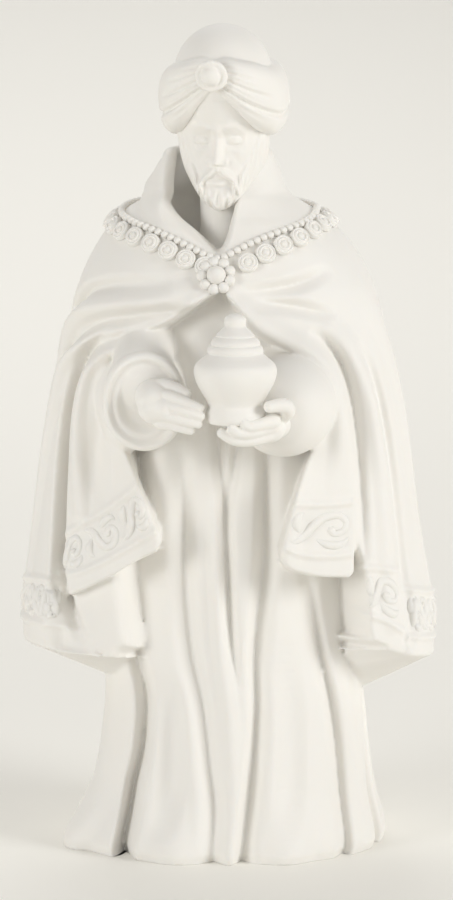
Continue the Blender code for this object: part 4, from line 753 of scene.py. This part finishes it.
# Borders as (lower line, upper line, length of one scroll, whether on the deeper layer), each line in
# (angle, height).
BANDS = [
    ([(-62, 56.4), (-55, 57.6), (-46, 60.4), (-36, 64), (-28.5, 66.8)],
     [(-65, 63), (-58, 66.2), (-49, 69.6), (-41, 73), (-35.5, 75.8)], 9.5, False),
    ([(24, 63.4), (30, 62.2), (40, 61.6), (48, 61.8)], [(26.5, 72.5), (32, 72), (41, 71.8), (49, 72)], 11.5,
     False),
    ([(52, 49.2), (54, 48.7), (58, 47.6), (63.5, 45.2)], [(52.5, 58.6), (54, 58.5), (58, 58.2), (64.5, 57.4)],
     9.0, True),
    ([(67, 43.8), (74, 42.8), (84, 41.8), (100, 42), (150, 42.8), (180, 43)],
     [(67.5, 53.4), (74, 52.2), (84, 51), (100, 50.4), (130, 50), (180, 50.4)], 10.5, True),
    ([(-62, 46.2), (-68, 46.2), (-79, 46), (-120, 44.4), (-150, 43.4), (-180, 43)],
     [(-63, 54.6), (-68, 55), (-76, 54.6), (-89, 53.6), (-120, 52), (-150, 51), (-180, 50.4)], 10.5, True),
]
# Scrolls: how deep their strokes lie in the cloth, how far one strokes' facets are apart, the gap at a
# scroll's ends and at the band's edges, as shares. One scroll is strokes of (along, across, radius): a stem
# that curls in, and two leaves.
SCROLL_SUNK = 0.38
SCROLL_FACET = 0.4
SCROLL_GAP = 0.02
BAND_GAP = 0.1
SCROLL = [
    [(0.00, 0.12, 0.35), (0.14, 0.14, 0.80), (0.30, 0.30, 1.00), (0.42, 0.56, 1.00), (0.58, 0.80, 0.95),
        (0.78, 0.84, 0.90), (0.90, 0.66, 0.85), (0.86, 0.46, 0.80), (0.72, 0.40, 0.80), (0.66, 0.52, 0.95)],
    [(0.24, 0.40, 0.40), (0.14, 0.58, 0.95), (0.16, 0.78, 0.90), (0.28, 0.92, 0.35)],
    [(0.48, 0.26, 0.40), (0.64, 0.14, 0.95), (0.82, 0.14, 0.90), (0.96, 0.30, 0.35)],
]


def strand_folds():
    """Wavy strands that run down the beard from its edge to its tip, and the sweeps of the moustache."""
    folds = []
    edge = smooth_path(BEARD_EDGE)
    for side in (-1, 1):
        for k in range(int(BEARD_REACH / STRAND_STEP)):
            a = (k + 0.5) * STRAND_STEP
            top = np.interp(a, edge[:, 0], edge[:, 1]) - STRAND_INSIDE
            tip = BEARD_TIP + BEARD_TIP_RISE * a * a
            wave = STRAND_WAVE * math.sin(1.7 * k + 0.6)
            flatter = STRAND_FLAT[1] if a > STRAND_FLAT[0] else 1.0
            rows = []
            for t, lift in zip(np.linspace(0, 1, len(STRAND_LIFT)), STRAND_LIFT):
                away = wave * math.sin(2 * math.pi * STRAND_WAVES * t + 0.9 * k)
                rows.append((side * (a + a * (BEARD_CLOSE - 1) * t + away), top + (tip - top) * t,
                             lift * flatter))
            folds.append((STRAND_WIDTH, STRAND_WIDTH, False, rows))
        for drop, lift in MOUSTACHE:
            folds.append((MOUSTACHE_WIDTH, MOUSTACHE_WIDTH, False,
                          [(side * a, z - low * drop, share * lift + own)
                           for a, z, low, share, own in MOUSTACHE_PATH]))
    return folds


def face_folds():
    folds = list(FACE_MIDDLE)
    for left, right, creased, rows in FACE_PAIRS:
        for side in (-1, 1):
            folds.append((left, right, creased, [(side * a, z, lift) for a, z, lift in rows]))
    return folds


def fine_head_spots(angle, share):
    """The head with its face, the mass of the beard and every strand on it."""
    z, opened = way_down(HEAD, share, HEAD_END)
    edge = smooth_path(BEARD_EDGE)
    degrees = np.abs(np.degrees(angle))
    below = np.interp(degrees, edge[:, 0], edge[:, 1]) - z
    mass = BEARD_MASS * smoothstep(*BEARD_RISE, below) * smoothstep(*BEARD_SIDE, degrees)
    lift = lifts(head_base, face_folds() + strand_folds(), angle, z) + mass
    p = carved(head_base, lift, angle, z)
    p[:, :2] *= opened[:, None]
    return on_head(p)


def cloth_spots(angle, z, deeper):
    """Points on the cloak's own surface or on its deeper layer, with their folds."""
    base = plan_of(CLOAK)
    lift = lifts(base, CLOAK_FOLDS + back_folds()[1], angle, z)
    spots = carved(base, lift - (behind(np.degrees(angle)) if deeper else 0), angle, z)
    spots[:, 0] += lean_at(z)
    return spots


def laid_on_cloth(degrees, z, deeper):
    """Points on the cloth and the ways out from it."""
    angle = np.radians(degrees)
    p = cloth_spots(angle, z, deeper)
    q = cloth_spots(angle + 0.02, z, deeper)
    r = cloth_spots(angle, z + 0.6, deeper)
    out = np.cross(q - p, r - p)
    return p, out / np.linalg.norm(out, axis=1)[:, None]


def relief_stroke(name, degrees, z, radii, deeper):
    """A rounded raised line along points of the cloth, tapered as its radii say."""
    spots, out = laid_on_cloth(degrees, z, deeper)
    path = spots - out * SCROLL_SUNK
    length = np.linalg.norm(np.diff(path, axis=0), axis=1).sum()
    shares = np.linspace(0, 1, len(radii))
    rows = [(-radii[0] / length, 0.0), *zip(shares, radii), (1 + radii[-1] / length, 0.0)]
    return swept(name, path, rows, 8, max(12, int(length / SCROLL_FACET)), steps=3)


def scrolls():
    """Running scrolls along every border, turned over in turn."""
    made = []
    for lower, upper, length, deeper in BANDS:
        low, high = smooth_path(lower), smooth_path(upper)
        ends = low[[0, -1]]
        middle = cloth_spots(np.radians(np.linspace(ends[0, 0], ends[1, 0], 40)),
                             np.linspace(ends[0, 1], ends[1, 1], 40), deeper)
        total = np.linalg.norm(np.diff(middle, axis=0), axis=1).sum()
        count = max(1, round(total / length))
        for k in range(count):
            for line in SCROLL:
                points = smooth_path(line, 5)
                along = (k + points[:, 0] * (1 - 2 * SCROLL_GAP) + SCROLL_GAP) / count
                across = points[:, 1] if k % 2 == 0 else 1 - points[:, 1]
                across = BAND_GAP + (1 - 2 * BAND_GAP) * across
                rows = [np.interp(along, np.linspace(0, 1, len(t)), t[:, c])
                        for c in (0, 1) for t in (low, high)]
                degrees = rows[0] + (rows[1] - rows[0]) * across
                z = rows[2] + (rows[3] - rows[2]) * across
                made.append(relief_stroke("scroll", degrees, z, points[:, 2], deeper))
    return made


def put_in_frame(obj, name):
    """Names the piece, centres it as the solid is and keeps it inside the solid's box."""
    obj.name = name
    obj.data.name = name
    flat = np.empty(len(obj.data.vertices) * 3)
    obj.data.vertices.foreach_get("co", flat)
    spots = flat.reshape(-1, 3) + np.array(CENTRE) * UNIT
    low, high = (np.array(corner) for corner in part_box("wise_man"))
    obj.data.vertices.foreach_set("co", np.clip(spots, low, high).ravel())
    obj.data.update()


def pick(*parts):
    """Selects these objects alone, with the first one active."""
    bpy.ops.object.select_all(action="DESELECT")
    for obj in parts:
        obj.select_set(True)
    bpy.context.view_layer.objects.active = parts[0]


def joined(parts):
    pick(*parts)
    if len(parts) > 1:
        bpy.ops.object.join()
    return bpy.context.object


def fused(parts, grain, soften, triangles):
    """One closed skin round all the parts, softened and thinned to a number of triangles."""
    obj = joined(parts)
    skin = obj.modifiers.new("skin", "REMESH")
    skin.mode = "VOXEL"
    skin.voxel_size = grain * UNIT
    bpy.ops.object.modifier_apply(modifier=skin.name)
    keep_biggest(obj)
    soft = obj.modifiers.new("soft", "SMOOTH")
    soft.factor = 0.5
    soft.iterations = soften
    bpy.ops.object.modifier_apply(modifier=soft.name)
    count = sum(len(p.vertices) - 2 for p in obj.data.polygons)
    thin = obj.modifiers.new("thin", "DECIMATE")
    thin.ratio = min(1, triangles / count)
    bpy.ops.object.modifier_apply(modifier=thin.name)
    return obj


def keep_biggest(obj):
    """Drops closed pockets inside the skin."""
    bm = bmesh.new()
    bm.from_mesh(obj.data)
    bm.verts.ensure_lookup_table()
    seen = np.zeros(len(bm.verts), bool)
    groups = []
    for vert in bm.verts:
        if seen[vert.index]:
            continue
        group, stack = [], [vert]
        seen[vert.index] = True
        while stack:
            v = stack.pop()
            group.append(v)
            for edge in v.link_edges:
                w = edge.other_vert(v)
                if not seen[w.index]:
                    seen[w.index] = True
                    stack.append(w)
        groups.append(group)
    biggest = max(groups, key=len)
    for group in groups:
        if group is not biggest:
            bmesh.ops.delete(bm, geom=group, context="VERTS")
    bm.to_mesh(obj.data)
    bm.free()


def turned(name, profile, steps, centre=(0.0, 0.0)):
    """A turned form from (radius, height) rows, spun round an upright axis."""
    mesh = bpy.data.meshes.new(name)
    rows = smooth_path(profile, 4)
    rows[:, 0] = np.maximum(rows[:, 0], 0)
    spots = [((centre[0] + r) * UNIT, centre[1] * UNIT, z * UNIT) for r, z in rows]
    mesh.from_pydata(spots, [(k, k + 1) for k in range(len(spots) - 1)], [])
    obj = bpy.data.objects.new(name, mesh)
    bpy.context.scene.collection.objects.link(obj)
    pick(obj)
    bpy.ops.object.mode_set(mode="EDIT")
    bpy.ops.mesh.select_all(action="SELECT")
    bpy.ops.mesh.spin(steps=steps, angle=2 * math.pi, center=(centre[0] * UNIT, centre[1] * UNIT, 0),
                      axis=(0, 0, 1))
    bpy.ops.mesh.select_all(action="SELECT")
    bpy.ops.mesh.remove_doubles(threshold=1e-6)
    bpy.ops.mesh.normals_make_consistent(inside=False)
    bpy.ops.object.mode_set(mode="OBJECT")
    return obj


def copies(source, places):
    """One mesh with a copy of the source at each (spot, turn)."""
    base = np.empty(len(source.data.vertices) * 3)
    source.data.vertices.foreach_get("co", base)
    base = base.reshape(-1, 3)
    faces = [list(p.vertices) for p in source.data.polygons]
    spots, all_faces = [], []
    for k, (spot, turn) in enumerate(places):
        spots.append(base @ np.asarray(turn).T + np.asarray(spot) * UNIT)
        all_faces += [[v + k * len(base) for v in face] for face in faces]
    mesh = bpy.data.meshes.new(source.name)
    mesh.from_pydata(np.vstack(spots).tolist(), [], all_faces)
    bpy.data.objects.remove(source, do_unlink=True)
    obj = bpy.data.objects.new(mesh.name, mesh)
    bpy.context.scene.collection.objects.link(obj)
    return obj


def finish_piece(obj, name):
    """Puts a piece in its place, in the bisque, and lets it ride on the body."""
    put_in_frame(obj, name)
    obj.data.materials.clear()
    obj.data.materials.append(bpy.data.materials[MATERIAL])
    pick(obj)
    bpy.ops.object.shade_smooth()
    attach(obj, "root")
    return obj


class Value:
    """A number in a shader, which takes the usual operators."""

    def __init__(self, tree, socket):
        self.tree, self.socket = tree, socket

    def _maths(self, operation, first, second):
        node = self.tree.nodes.new("ShaderNodeMath")
        node.operation = operation
        for k, item in enumerate((first, second)):
            if isinstance(item, Value):
                self.tree.links.new(item.socket, node.inputs[k])
            else:
                node.inputs[k].default_value = item
        return Value(self.tree, node.outputs[0])

    def __add__(self, other):
        return self._maths("ADD", self, other)

    def __radd__(self, other):
        return self._maths("ADD", other, self)

    def __sub__(self, other):
        return self._maths("SUBTRACT", self, other)

    def __rsub__(self, other):
        return self._maths("SUBTRACT", other, self)

    def __mul__(self, other):
        return self._maths("MULTIPLY", self, other)

    def __rmul__(self, other):
        return self._maths("MULTIPLY", other, self)


class Finish:
    """A material, with one method that adds any node."""

    def __init__(self, name):
        self.material = bpy.data.materials.new(name)
        self.material.use_nodes = True
        self.tree = self.material.node_tree
        self.shader = self.tree.nodes["Principled BSDF"]

    def node(self, kind, settings=None, output=0, sockets=None, **values):
        made = self.tree.nodes.new(kind)
        for key, value in (settings or {}).items():
            setattr(made, key, value)
        for key, value in {**(sockets or {}), **values}.items():
            socket = made.inputs[key]
            if isinstance(value, Value):
                self.tree.links.new(value.socket, socket)
            else:
                socket.default_value = value
        return Value(self.tree, made.outputs[output])

    def feed(self, name, value):
        self.tree.links.new(value.socket, self.shader.inputs[name])


# Bisque: how its clouds tint the colour by channel, their scale and the scale of the surface's tooth, how far
# the tooth moves the roughness, the strength and depth of its bump, and how far light runs under the surface.
MATERIAL = "fine_bisque"
CLOUD_TINT = (0.985, 0.975, 0.955)
CLOUD_SCALE = 38.0
TOOTH_SCALE = 2600.0
TOOTH_SPREAD = 0.10
TOOTH_BUMP = 0.12
TOOTH_DEPTH = 0.00004
INNER_LIGHT = 0.12
INNER_REACH = (0.0016, 0.0013, 0.001)
REFRACTION = 1.5
OBJECT_PLACE = 3

# Paper of the sweep: the scale of its grain, its roughness and how far the grain moves that.
PAPER_SCALE = 900.0
PAPER_ROUGHNESS = 0.7
PAPER_SPREAD = 0.08


def bisque(settings):
    """Unglazed white porcelain: matt, with a hardly seen tooth and slightly uneven tone."""
    finish = Finish(MATERIAL)
    place = finish.node("ShaderNodeTexCoord", output=OBJECT_PLACE)
    cloudy = finish.node("ShaderNodeTexNoise", Vector=place, Scale=CLOUD_SCALE, Detail=3.0)
    tooth = finish.node("ShaderNodeTexNoise", Vector=place, Scale=TOOTH_SCALE, Detail=2.0)
    warm = [colour * tint for colour, tint in zip(settings.bisque, CLOUD_TINT)]
    tone = finish.node("ShaderNodeMix", {"data_type": "RGBA"}, output=2,
                       sockets={0: cloudy, 6: (*settings.bisque, 1.0), 7: (*warm, 1.0)})
    finish.feed("Base Color", tone)
    finish.feed("Roughness", settings.roughness + (tooth - 0.5) * TOOTH_SPREAD)
    finish.feed("Normal", finish.node("ShaderNodeBump", Height=tooth, Strength=TOOTH_BUMP,
                                      Distance=TOOTH_DEPTH))
    finish.shader.inputs["Subsurface Weight"].default_value = INNER_LIGHT
    finish.shader.inputs["Subsurface Radius"].default_value = INNER_REACH
    finish.shader.inputs["Subsurface Scale"].default_value = 1.0
    finish.shader.inputs["IOR"].default_value = REFRACTION


def paper(settings):
    """The plain pale sweep that the figure stands on."""
    finish = Finish("pale_sweep")
    place = finish.node("ShaderNodeTexCoord", output=OBJECT_PLACE)
    grain = finish.node("ShaderNodeTexNoise", Vector=place, Scale=PAPER_SCALE, Detail=2.0)
    finish.shader.inputs["Base Color"].default_value = (*settings.floor, 1.0)
    finish.feed("Roughness", PAPER_ROUGHNESS + (grain - 0.5) * PAPER_SPREAD)
    return finish.material


class FIGURINE_PG_settings(bpy.types.PropertyGroup):
    bisque: bpy.props.FloatVectorProperty(
        name="Bisque", description="Colour of the unglazed porcelain", subtype="COLOR", min=0, max=1,
        default=(0.87, 0.855, 0.82))
    roughness: bpy.props.FloatProperty(
        name="Roughness", description="How matt the porcelain is", subtype="FACTOR", min=0, max=1,
        default=0.62)
    floor: bpy.props.FloatVectorProperty(
        name="Floor", description="Colour of the pale sweep", subtype="COLOR", min=0, max=1,
        default=(0.95, 0.935, 0.885))
    cloth_grain: bpy.props.FloatProperty(
        name="Cloth grain", description="Fineness of the clothes in parts of the height", default=0.36,
        min=0.2)
    fine_grain: bpy.props.FloatProperty(
        name="Fine grain", description="Fineness of the head and hands in parts of the height", default=0.2,
        min=0.1)
    pieces: bpy.props.IntProperty(
        name="Cloth triangles", description="Most triangles in the clothes", default=190000, min=1000)


class Piece:
    """What the operators have in common."""
    bl_options = {"REGISTER", "UNDO"}

    def execute(self, context):
        self.make(context.scene.figurine)
        return {"FINISHED"}


class FIGURINE_OT_material(Piece, bpy.types.Operator):
    """Mix the bisque"""
    bl_idname = "figurine.material"
    bl_label = "Material"

    def make(self, settings):
        bisque(settings)


# Then the most triangles of the finer pieces, and how much finer or coarser than the fine grain they are.
CLOTHES_MESH = {False: (900, 700), True: (640, 460)}
QUICK_GRAIN = 1.4
HEAD_TRIANGLES = 190000
HEAD_GRAIN = 0.9
TURBAN_TRIANGLES = 150000
TURBAN_GRAIN = 1.2
HAND_TRIANGLES = 90000

# Corners where a deeper layer's hem meets its side: sideways, height and reach of the softened spot; how deep
# it goes and how many times it is softened.
SOFT_CORNERS = [(-16.3, 47.2, 4.6), (22.4, 48.2, 3.2)]
CORNER_DEPTH = 5.0
CORNER_PASSES = 70


def soft_corners(obj):
    """Softens the small steps at the deeper layers' lower corners."""
    bm = bmesh.new()
    bm.from_mesh(obj.data)
    for x, z, reach in SOFT_CORNERS:
        near = [v for v in bm.verts if math.hypot(v.co.x / UNIT - x, v.co.z / UNIT - z) < reach]
        front = min(v.co.y for v in near)
        near = [v for v in near if v.co.y < front + CORNER_DEPTH * UNIT]
        for _ in range(CORNER_PASSES):
            bmesh.ops.smooth_vert(bm, verts=near, factor=0.5, use_axis_x=True, use_axis_y=True,
                                  use_axis_z=True)
    bm.to_mesh(obj.data)
    bm.free()


class FIGURINE_OT_clothes(Piece, bpy.types.Operator):
    """Sculpt the robe, the cloak, the collar and both sleeves"""
    bl_idname = "figurine.clothes"
    bl_label = "Robe and cloak"

    def make(self, settings):
        quick = bool(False)
        parts = [form("clothes", *CLOTHES_MESH[quick], clothes_spots),
                 form("throat", 64, 40, throat_spots),
                 swept("left_sleeve", LEFT_ARM, LEFT_SLEEVE, 96, 180,
                       lambda angle, r: 1 + MOUTH_STRETCH * np.cos(2 * angle)),
                 swept("right_sleeve", RIGHT_ARM, RIGHT_SLEEVE, 96, 140)]
        parts += [limb("upper_sleeve", path, radii, 48, 70) for path, radii in UPPER_SLEEVE]
        obj = fused(parts, settings.cloth_grain * (QUICK_GRAIN if quick else 1), 2, settings.pieces)
        soft_corners(obj)
        finish_piece(obj, "robe_and_cloak")
        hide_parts("wise_man")


class FIGURINE_OT_head(Piece, bpy.types.Operator):
    """Sculpt the head with its face and beard"""
    bl_idname = "figurine.head"
    bl_label = "Head and beard"

    def make(self, settings):
        parts = [form("head", 560, 460, fine_head_spots)]
        obj = fused(parts, settings.fine_grain * HEAD_GRAIN, 1, HEAD_TRIANGLES)
        finish_piece(obj, "head_and_beard")


class FIGURINE_OT_turban(Piece, bpy.types.Operator):
    """Sculpt the turban with its cap and knot"""
    bl_idname = "figurine.turban"
    bl_label = "Turban"

    def make(self, settings):
        turn = head_turn()
        parts = [form("wrap", 520, 260, fine_wrap_spots), ball("cap", on_head(CAP), CAP_SIZE, turn, 96, 64),
                 ball("knot", on_head(np.array(KNOT_AT) + KNOT_FORWARD), KNOT_BALL, turn, 40, 28)]
        for side in (1, -1):
            path = [on_head(np.array(KNOT_AT) + (side * x, y, z)) for x, y, z in KNOT_LOOP]
            parts.append(limb("loop", path, [KNOT_LOOP_RADIUS] * 3, 16, 40))
        obj = fused(parts, settings.fine_grain * TURBAN_GRAIN, 2, TURBAN_TRIANGLES)
        finish_piece(obj, "turban")


def fine_wrap_spots(angle, share):
    """The turban's wrap with all its pleats."""
    middle, half, thick = read_rows(WRAP, np.degrees(angle))
    bend = (share - 0.5) * 2
    inner = np.abs(bend) > WRAP_TURN
    s = np.clip(bend / WRAP_TURN, -1, 1)
    bulge = (1 - np.abs(s) ** WRAP_POWER) ** (1 / WRAP_POWER)
    core = oval(*WRAP_CORE, angle)
    radius = core + thick * bulge
    for place, depth, spread, width in PLEATS:
        fade = 1 - smoothstep(0.5 * spread, spread, np.abs(np.degrees(angle)))
        radius = radius - depth * fade * np.exp(-((-s - place) / width) ** 2)
    radius = np.where(inner, core * np.clip((1 - np.abs(bend)) / (1 - WRAP_TURN), 0, 1), radius)
    return on_head(on_plan(radius, angle, middle - s * half))


class FIGURINE_OT_hands(Piece, bpy.types.Operator):
    """Sculpt both hands"""
    bl_idname = "figurine.hands"
    bl_label = "Hands"

    def make(self, settings):
        for name, rows in (("raised_hand", LEFT_HAND), ("holding_hand", RIGHT_HAND)):
            parts = [limb("finger", path, radii, 28, 48) for path, radii in rows]
            obj = fused(parts, settings.fine_grain, 2, HAND_TRIANGLES)
            finish_piece(obj, name)


class FIGURINE_OT_jar(Piece, bpy.types.Operator):
    """Turn the lidded jar"""
    bl_idname = "figurine.jar"
    bl_label = "Jar"

    def make(self, settings):
        obj = turned("jar", [(r, z) for z, r in JAR], 128, JAR_AXIS)
        finish_piece(obj, "lidded_jar")


class FIGURINE_OT_necklace(Piece, bpy.types.Operator):
    """String the beads and discs and set the pendant"""
    bl_idname = "figurine.necklace"
    bl_label = "Necklace"

    def make(self, settings):
        for name, rows, spacing, out in (("bead_string", STRING, BEAD_SPACING, BEAD_OUT),
                                         ("disc_string", DISC_LINE, DISC_SPACING, DISC_OUT)):
            line = smooth_path(rows, 12)
            spots = np.array([on_cloak(a, h)[0] for a, h in line])
            length = np.r_[0, np.cumsum(np.linalg.norm(np.diff(spots, axis=0), axis=1))]
            count = int(length[-1] // spacing)
            places = []
            for k in range(count):
                at = (k + 0.5) * length[-1] / count
                a, h = np.interp(at, length, line[:, 0]), np.interp(at, length, line[:, 1])
                spot, way = on_cloak(a, h)
                places.append((spot + way * out, facing(way)))
            if name == "bead_string":
                bpy.ops.mesh.primitive_uv_sphere_add(segments=16, ring_count=10, radius=BEAD_RADIUS * UNIT)
                source = bpy.context.object
            else:
                source = turned("disc", DISC_PROFILE, 32)
            source.name = name
            finish_piece(copies(source, places), name)
        spot, way = on_cloak(*PENDANT)
        turn = facing(way)
        boss = copies(turned("boss", BOSS_PROFILE, 40), [(spot + way * BOSS_OUT, turn)])
        bpy.ops.mesh.primitive_uv_sphere_add(segments=18, ring_count=12, radius=PETAL_RADIUS * UNIT)
        petal = bpy.context.object
        places = []
        for k in range(PETALS):
            a = 2 * math.pi * (k + 0.5) / PETALS
            at = (PETAL_RING * math.cos(a), PETAL_RING * math.sin(a), PETAL_OUT)
            places.append((spot + turn @ at, turn))
        petals = copies(petal, places)
        finish_piece(joined([boss, petals]), "flower_pendant")


class FIGURINE_OT_borders(Piece, bpy.types.Operator):
    """Lay the scrolls along the cloak's borders"""
    bl_idname = "figurine.borders"
    bl_label = "Border scrolls"

    def make(self, settings):
        finish_piece(joined(scrolls()), "border_scrolls")


class FIGURINE_OT_stage(Piece, bpy.types.Operator):
    """Lay the pale sweep, set the lights and place the camera"""
    bl_idname = "figurine.stage"
    bl_label = "Stage"

    def make(self, settings):
        sweep(settings)
        lights()
        camera()


# Sweep, in metres: its size, where it starts to bend up behind the figure, and the bend's radius.
SWEEP_SIZE = 8.0
SWEEP_BACK = 0.5
SWEEP_BEND = 1.6
SWEEP_ROWS = 160


def sweep(settings):
    """A grid laid flat in front, bent up in a wide curve behind."""
    bpy.ops.object.select_all(action="DESELECT")
    bpy.ops.mesh.primitive_grid_add(x_subdivisions=2, y_subdivisions=SWEEP_ROWS, size=SWEEP_SIZE)
    floor = bpy.context.object
    floor.name = "pale_sweep"
    for vert in floor.data.vertices:
        far = vert.co.y - SWEEP_BACK
        if far > 0:
            bend = min(far / SWEEP_BEND, math.pi / 2)
            vert.co.y = SWEEP_BACK + SWEEP_BEND * math.sin(bend)
            vert.co.z = SWEEP_BEND * (1 - math.cos(bend)) + max(0, far - SWEEP_BEND * math.pi / 2)
    bpy.ops.object.shade_smooth()
    floor.data.materials.append(paper(settings))


# Lamps: name, place, what they're aimed at, size and power. Then the light of the room round them.
LAMPS = [
    ("key", (0.9, -0.45, 0.42), (0.0, 0.0, 0.08), 0.4, 5.3),
    ("fill", (-0.8, -0.68, 0.3), (0.0, 0.0, 0.08), 0.35, 3.7),
    ("sweep_lamp", (-0.1, 0.75, 0.75), (-0.1, 0.4, 0.0), 0.6, 2.6),
]
ROOM_COLOUR = (1.0, 0.98, 0.95, 1.0)
ROOM_STRENGTH = 0.44


def look(obj, place, aim):
    """Puts a lamp or the camera in its place and turns it to its aim."""
    obj.location = place
    obj.rotation_euler = (aim - place).to_track_quat("-Z", "Y").to_euler()


def lights():
    for name, place, aim, size, power in LAMPS:
        lamp = bpy.data.lights.new(name, "AREA")
        lamp.size = size
        lamp.energy = power
        obj = bpy.data.objects.new(name, lamp)
        bpy.context.scene.collection.objects.link(obj)
        look(obj, Vector(place), Vector(aim))
    world = bpy.data.worlds.new("room")
    bpy.context.scene.world = world
    world.use_nodes = True
    shade = world.node_tree.nodes["Background"]
    shade.inputs["Color"].default_value = ROOM_COLOUR
    shade.inputs["Strength"].default_value = ROOM_STRENGTH
    bpy.context.scene.view_settings.view_transform = "Standard"


# Camera: its place and the height it looks at, in parts before the figure is centred, and its lens, film
# height and farthest view.
CAMERA_AT = (0.0, -800.0, 195.0)
CAMERA_AIM = 79.06
LENS = 159.9
FILM = 36.0
FARTHEST = 20.0


def camera():
    data = bpy.data.cameras.new("camera")
    data.lens = LENS
    data.sensor_fit = "VERTICAL"
    data.sensor_height = FILM
    data.clip_end = FARTHEST
    obj = bpy.data.objects.new("camera", data)
    bpy.context.scene.collection.objects.link(obj)
    place = (Vector(CAMERA_AT) + Vector(CENTRE)) * UNIT
    aim = (Vector((0, 0, CAMERA_AIM)) + Vector(CENTRE)) * UNIT
    look(obj, place, aim)
    bpy.context.scene.camera = obj


class FIGURINE_PT_panel(bpy.types.Panel):
    bl_label = "Wise man figurine"
    bl_idname = "FIGURINE_PT_panel"
    bl_space_type = "VIEW_3D"
    bl_region_type = "UI"
    bl_category = "Figurine"

    def draw(self, context):
        settings = context.scene.figurine
        for name in ("bisque", "roughness", "floor", "cloth_grain", "fine_grain", "pieces"):
            self.layout.prop(settings, name)
        for step in STEPS:
            self.layout.operator(step.bl_idname)


STEPS = (FIGURINE_OT_material, FIGURINE_OT_clothes, FIGURINE_OT_head, FIGURINE_OT_turban, FIGURINE_OT_hands,
         FIGURINE_OT_jar, FIGURINE_OT_necklace, FIGURINE_OT_borders, FIGURINE_OT_stage)
CLASSES = (FIGURINE_PG_settings, *STEPS, FIGURINE_PT_panel)


def register():
    for item in CLASSES:
        bpy.utils.register_class(item)
    bpy.types.Scene.figurine = bpy.props.PointerProperty(type=FIGURINE_PG_settings)


def unregister():
    del bpy.types.Scene.figurine
    for item in reversed(CLASSES):
        bpy.utils.unregister_class(item)


def main():
    register()
    for step in STEPS:
        group, call = step.bl_idname.split(".")
        getattr(getattr(bpy.ops, group), call)()


if __name__ == "__main__":
    main()
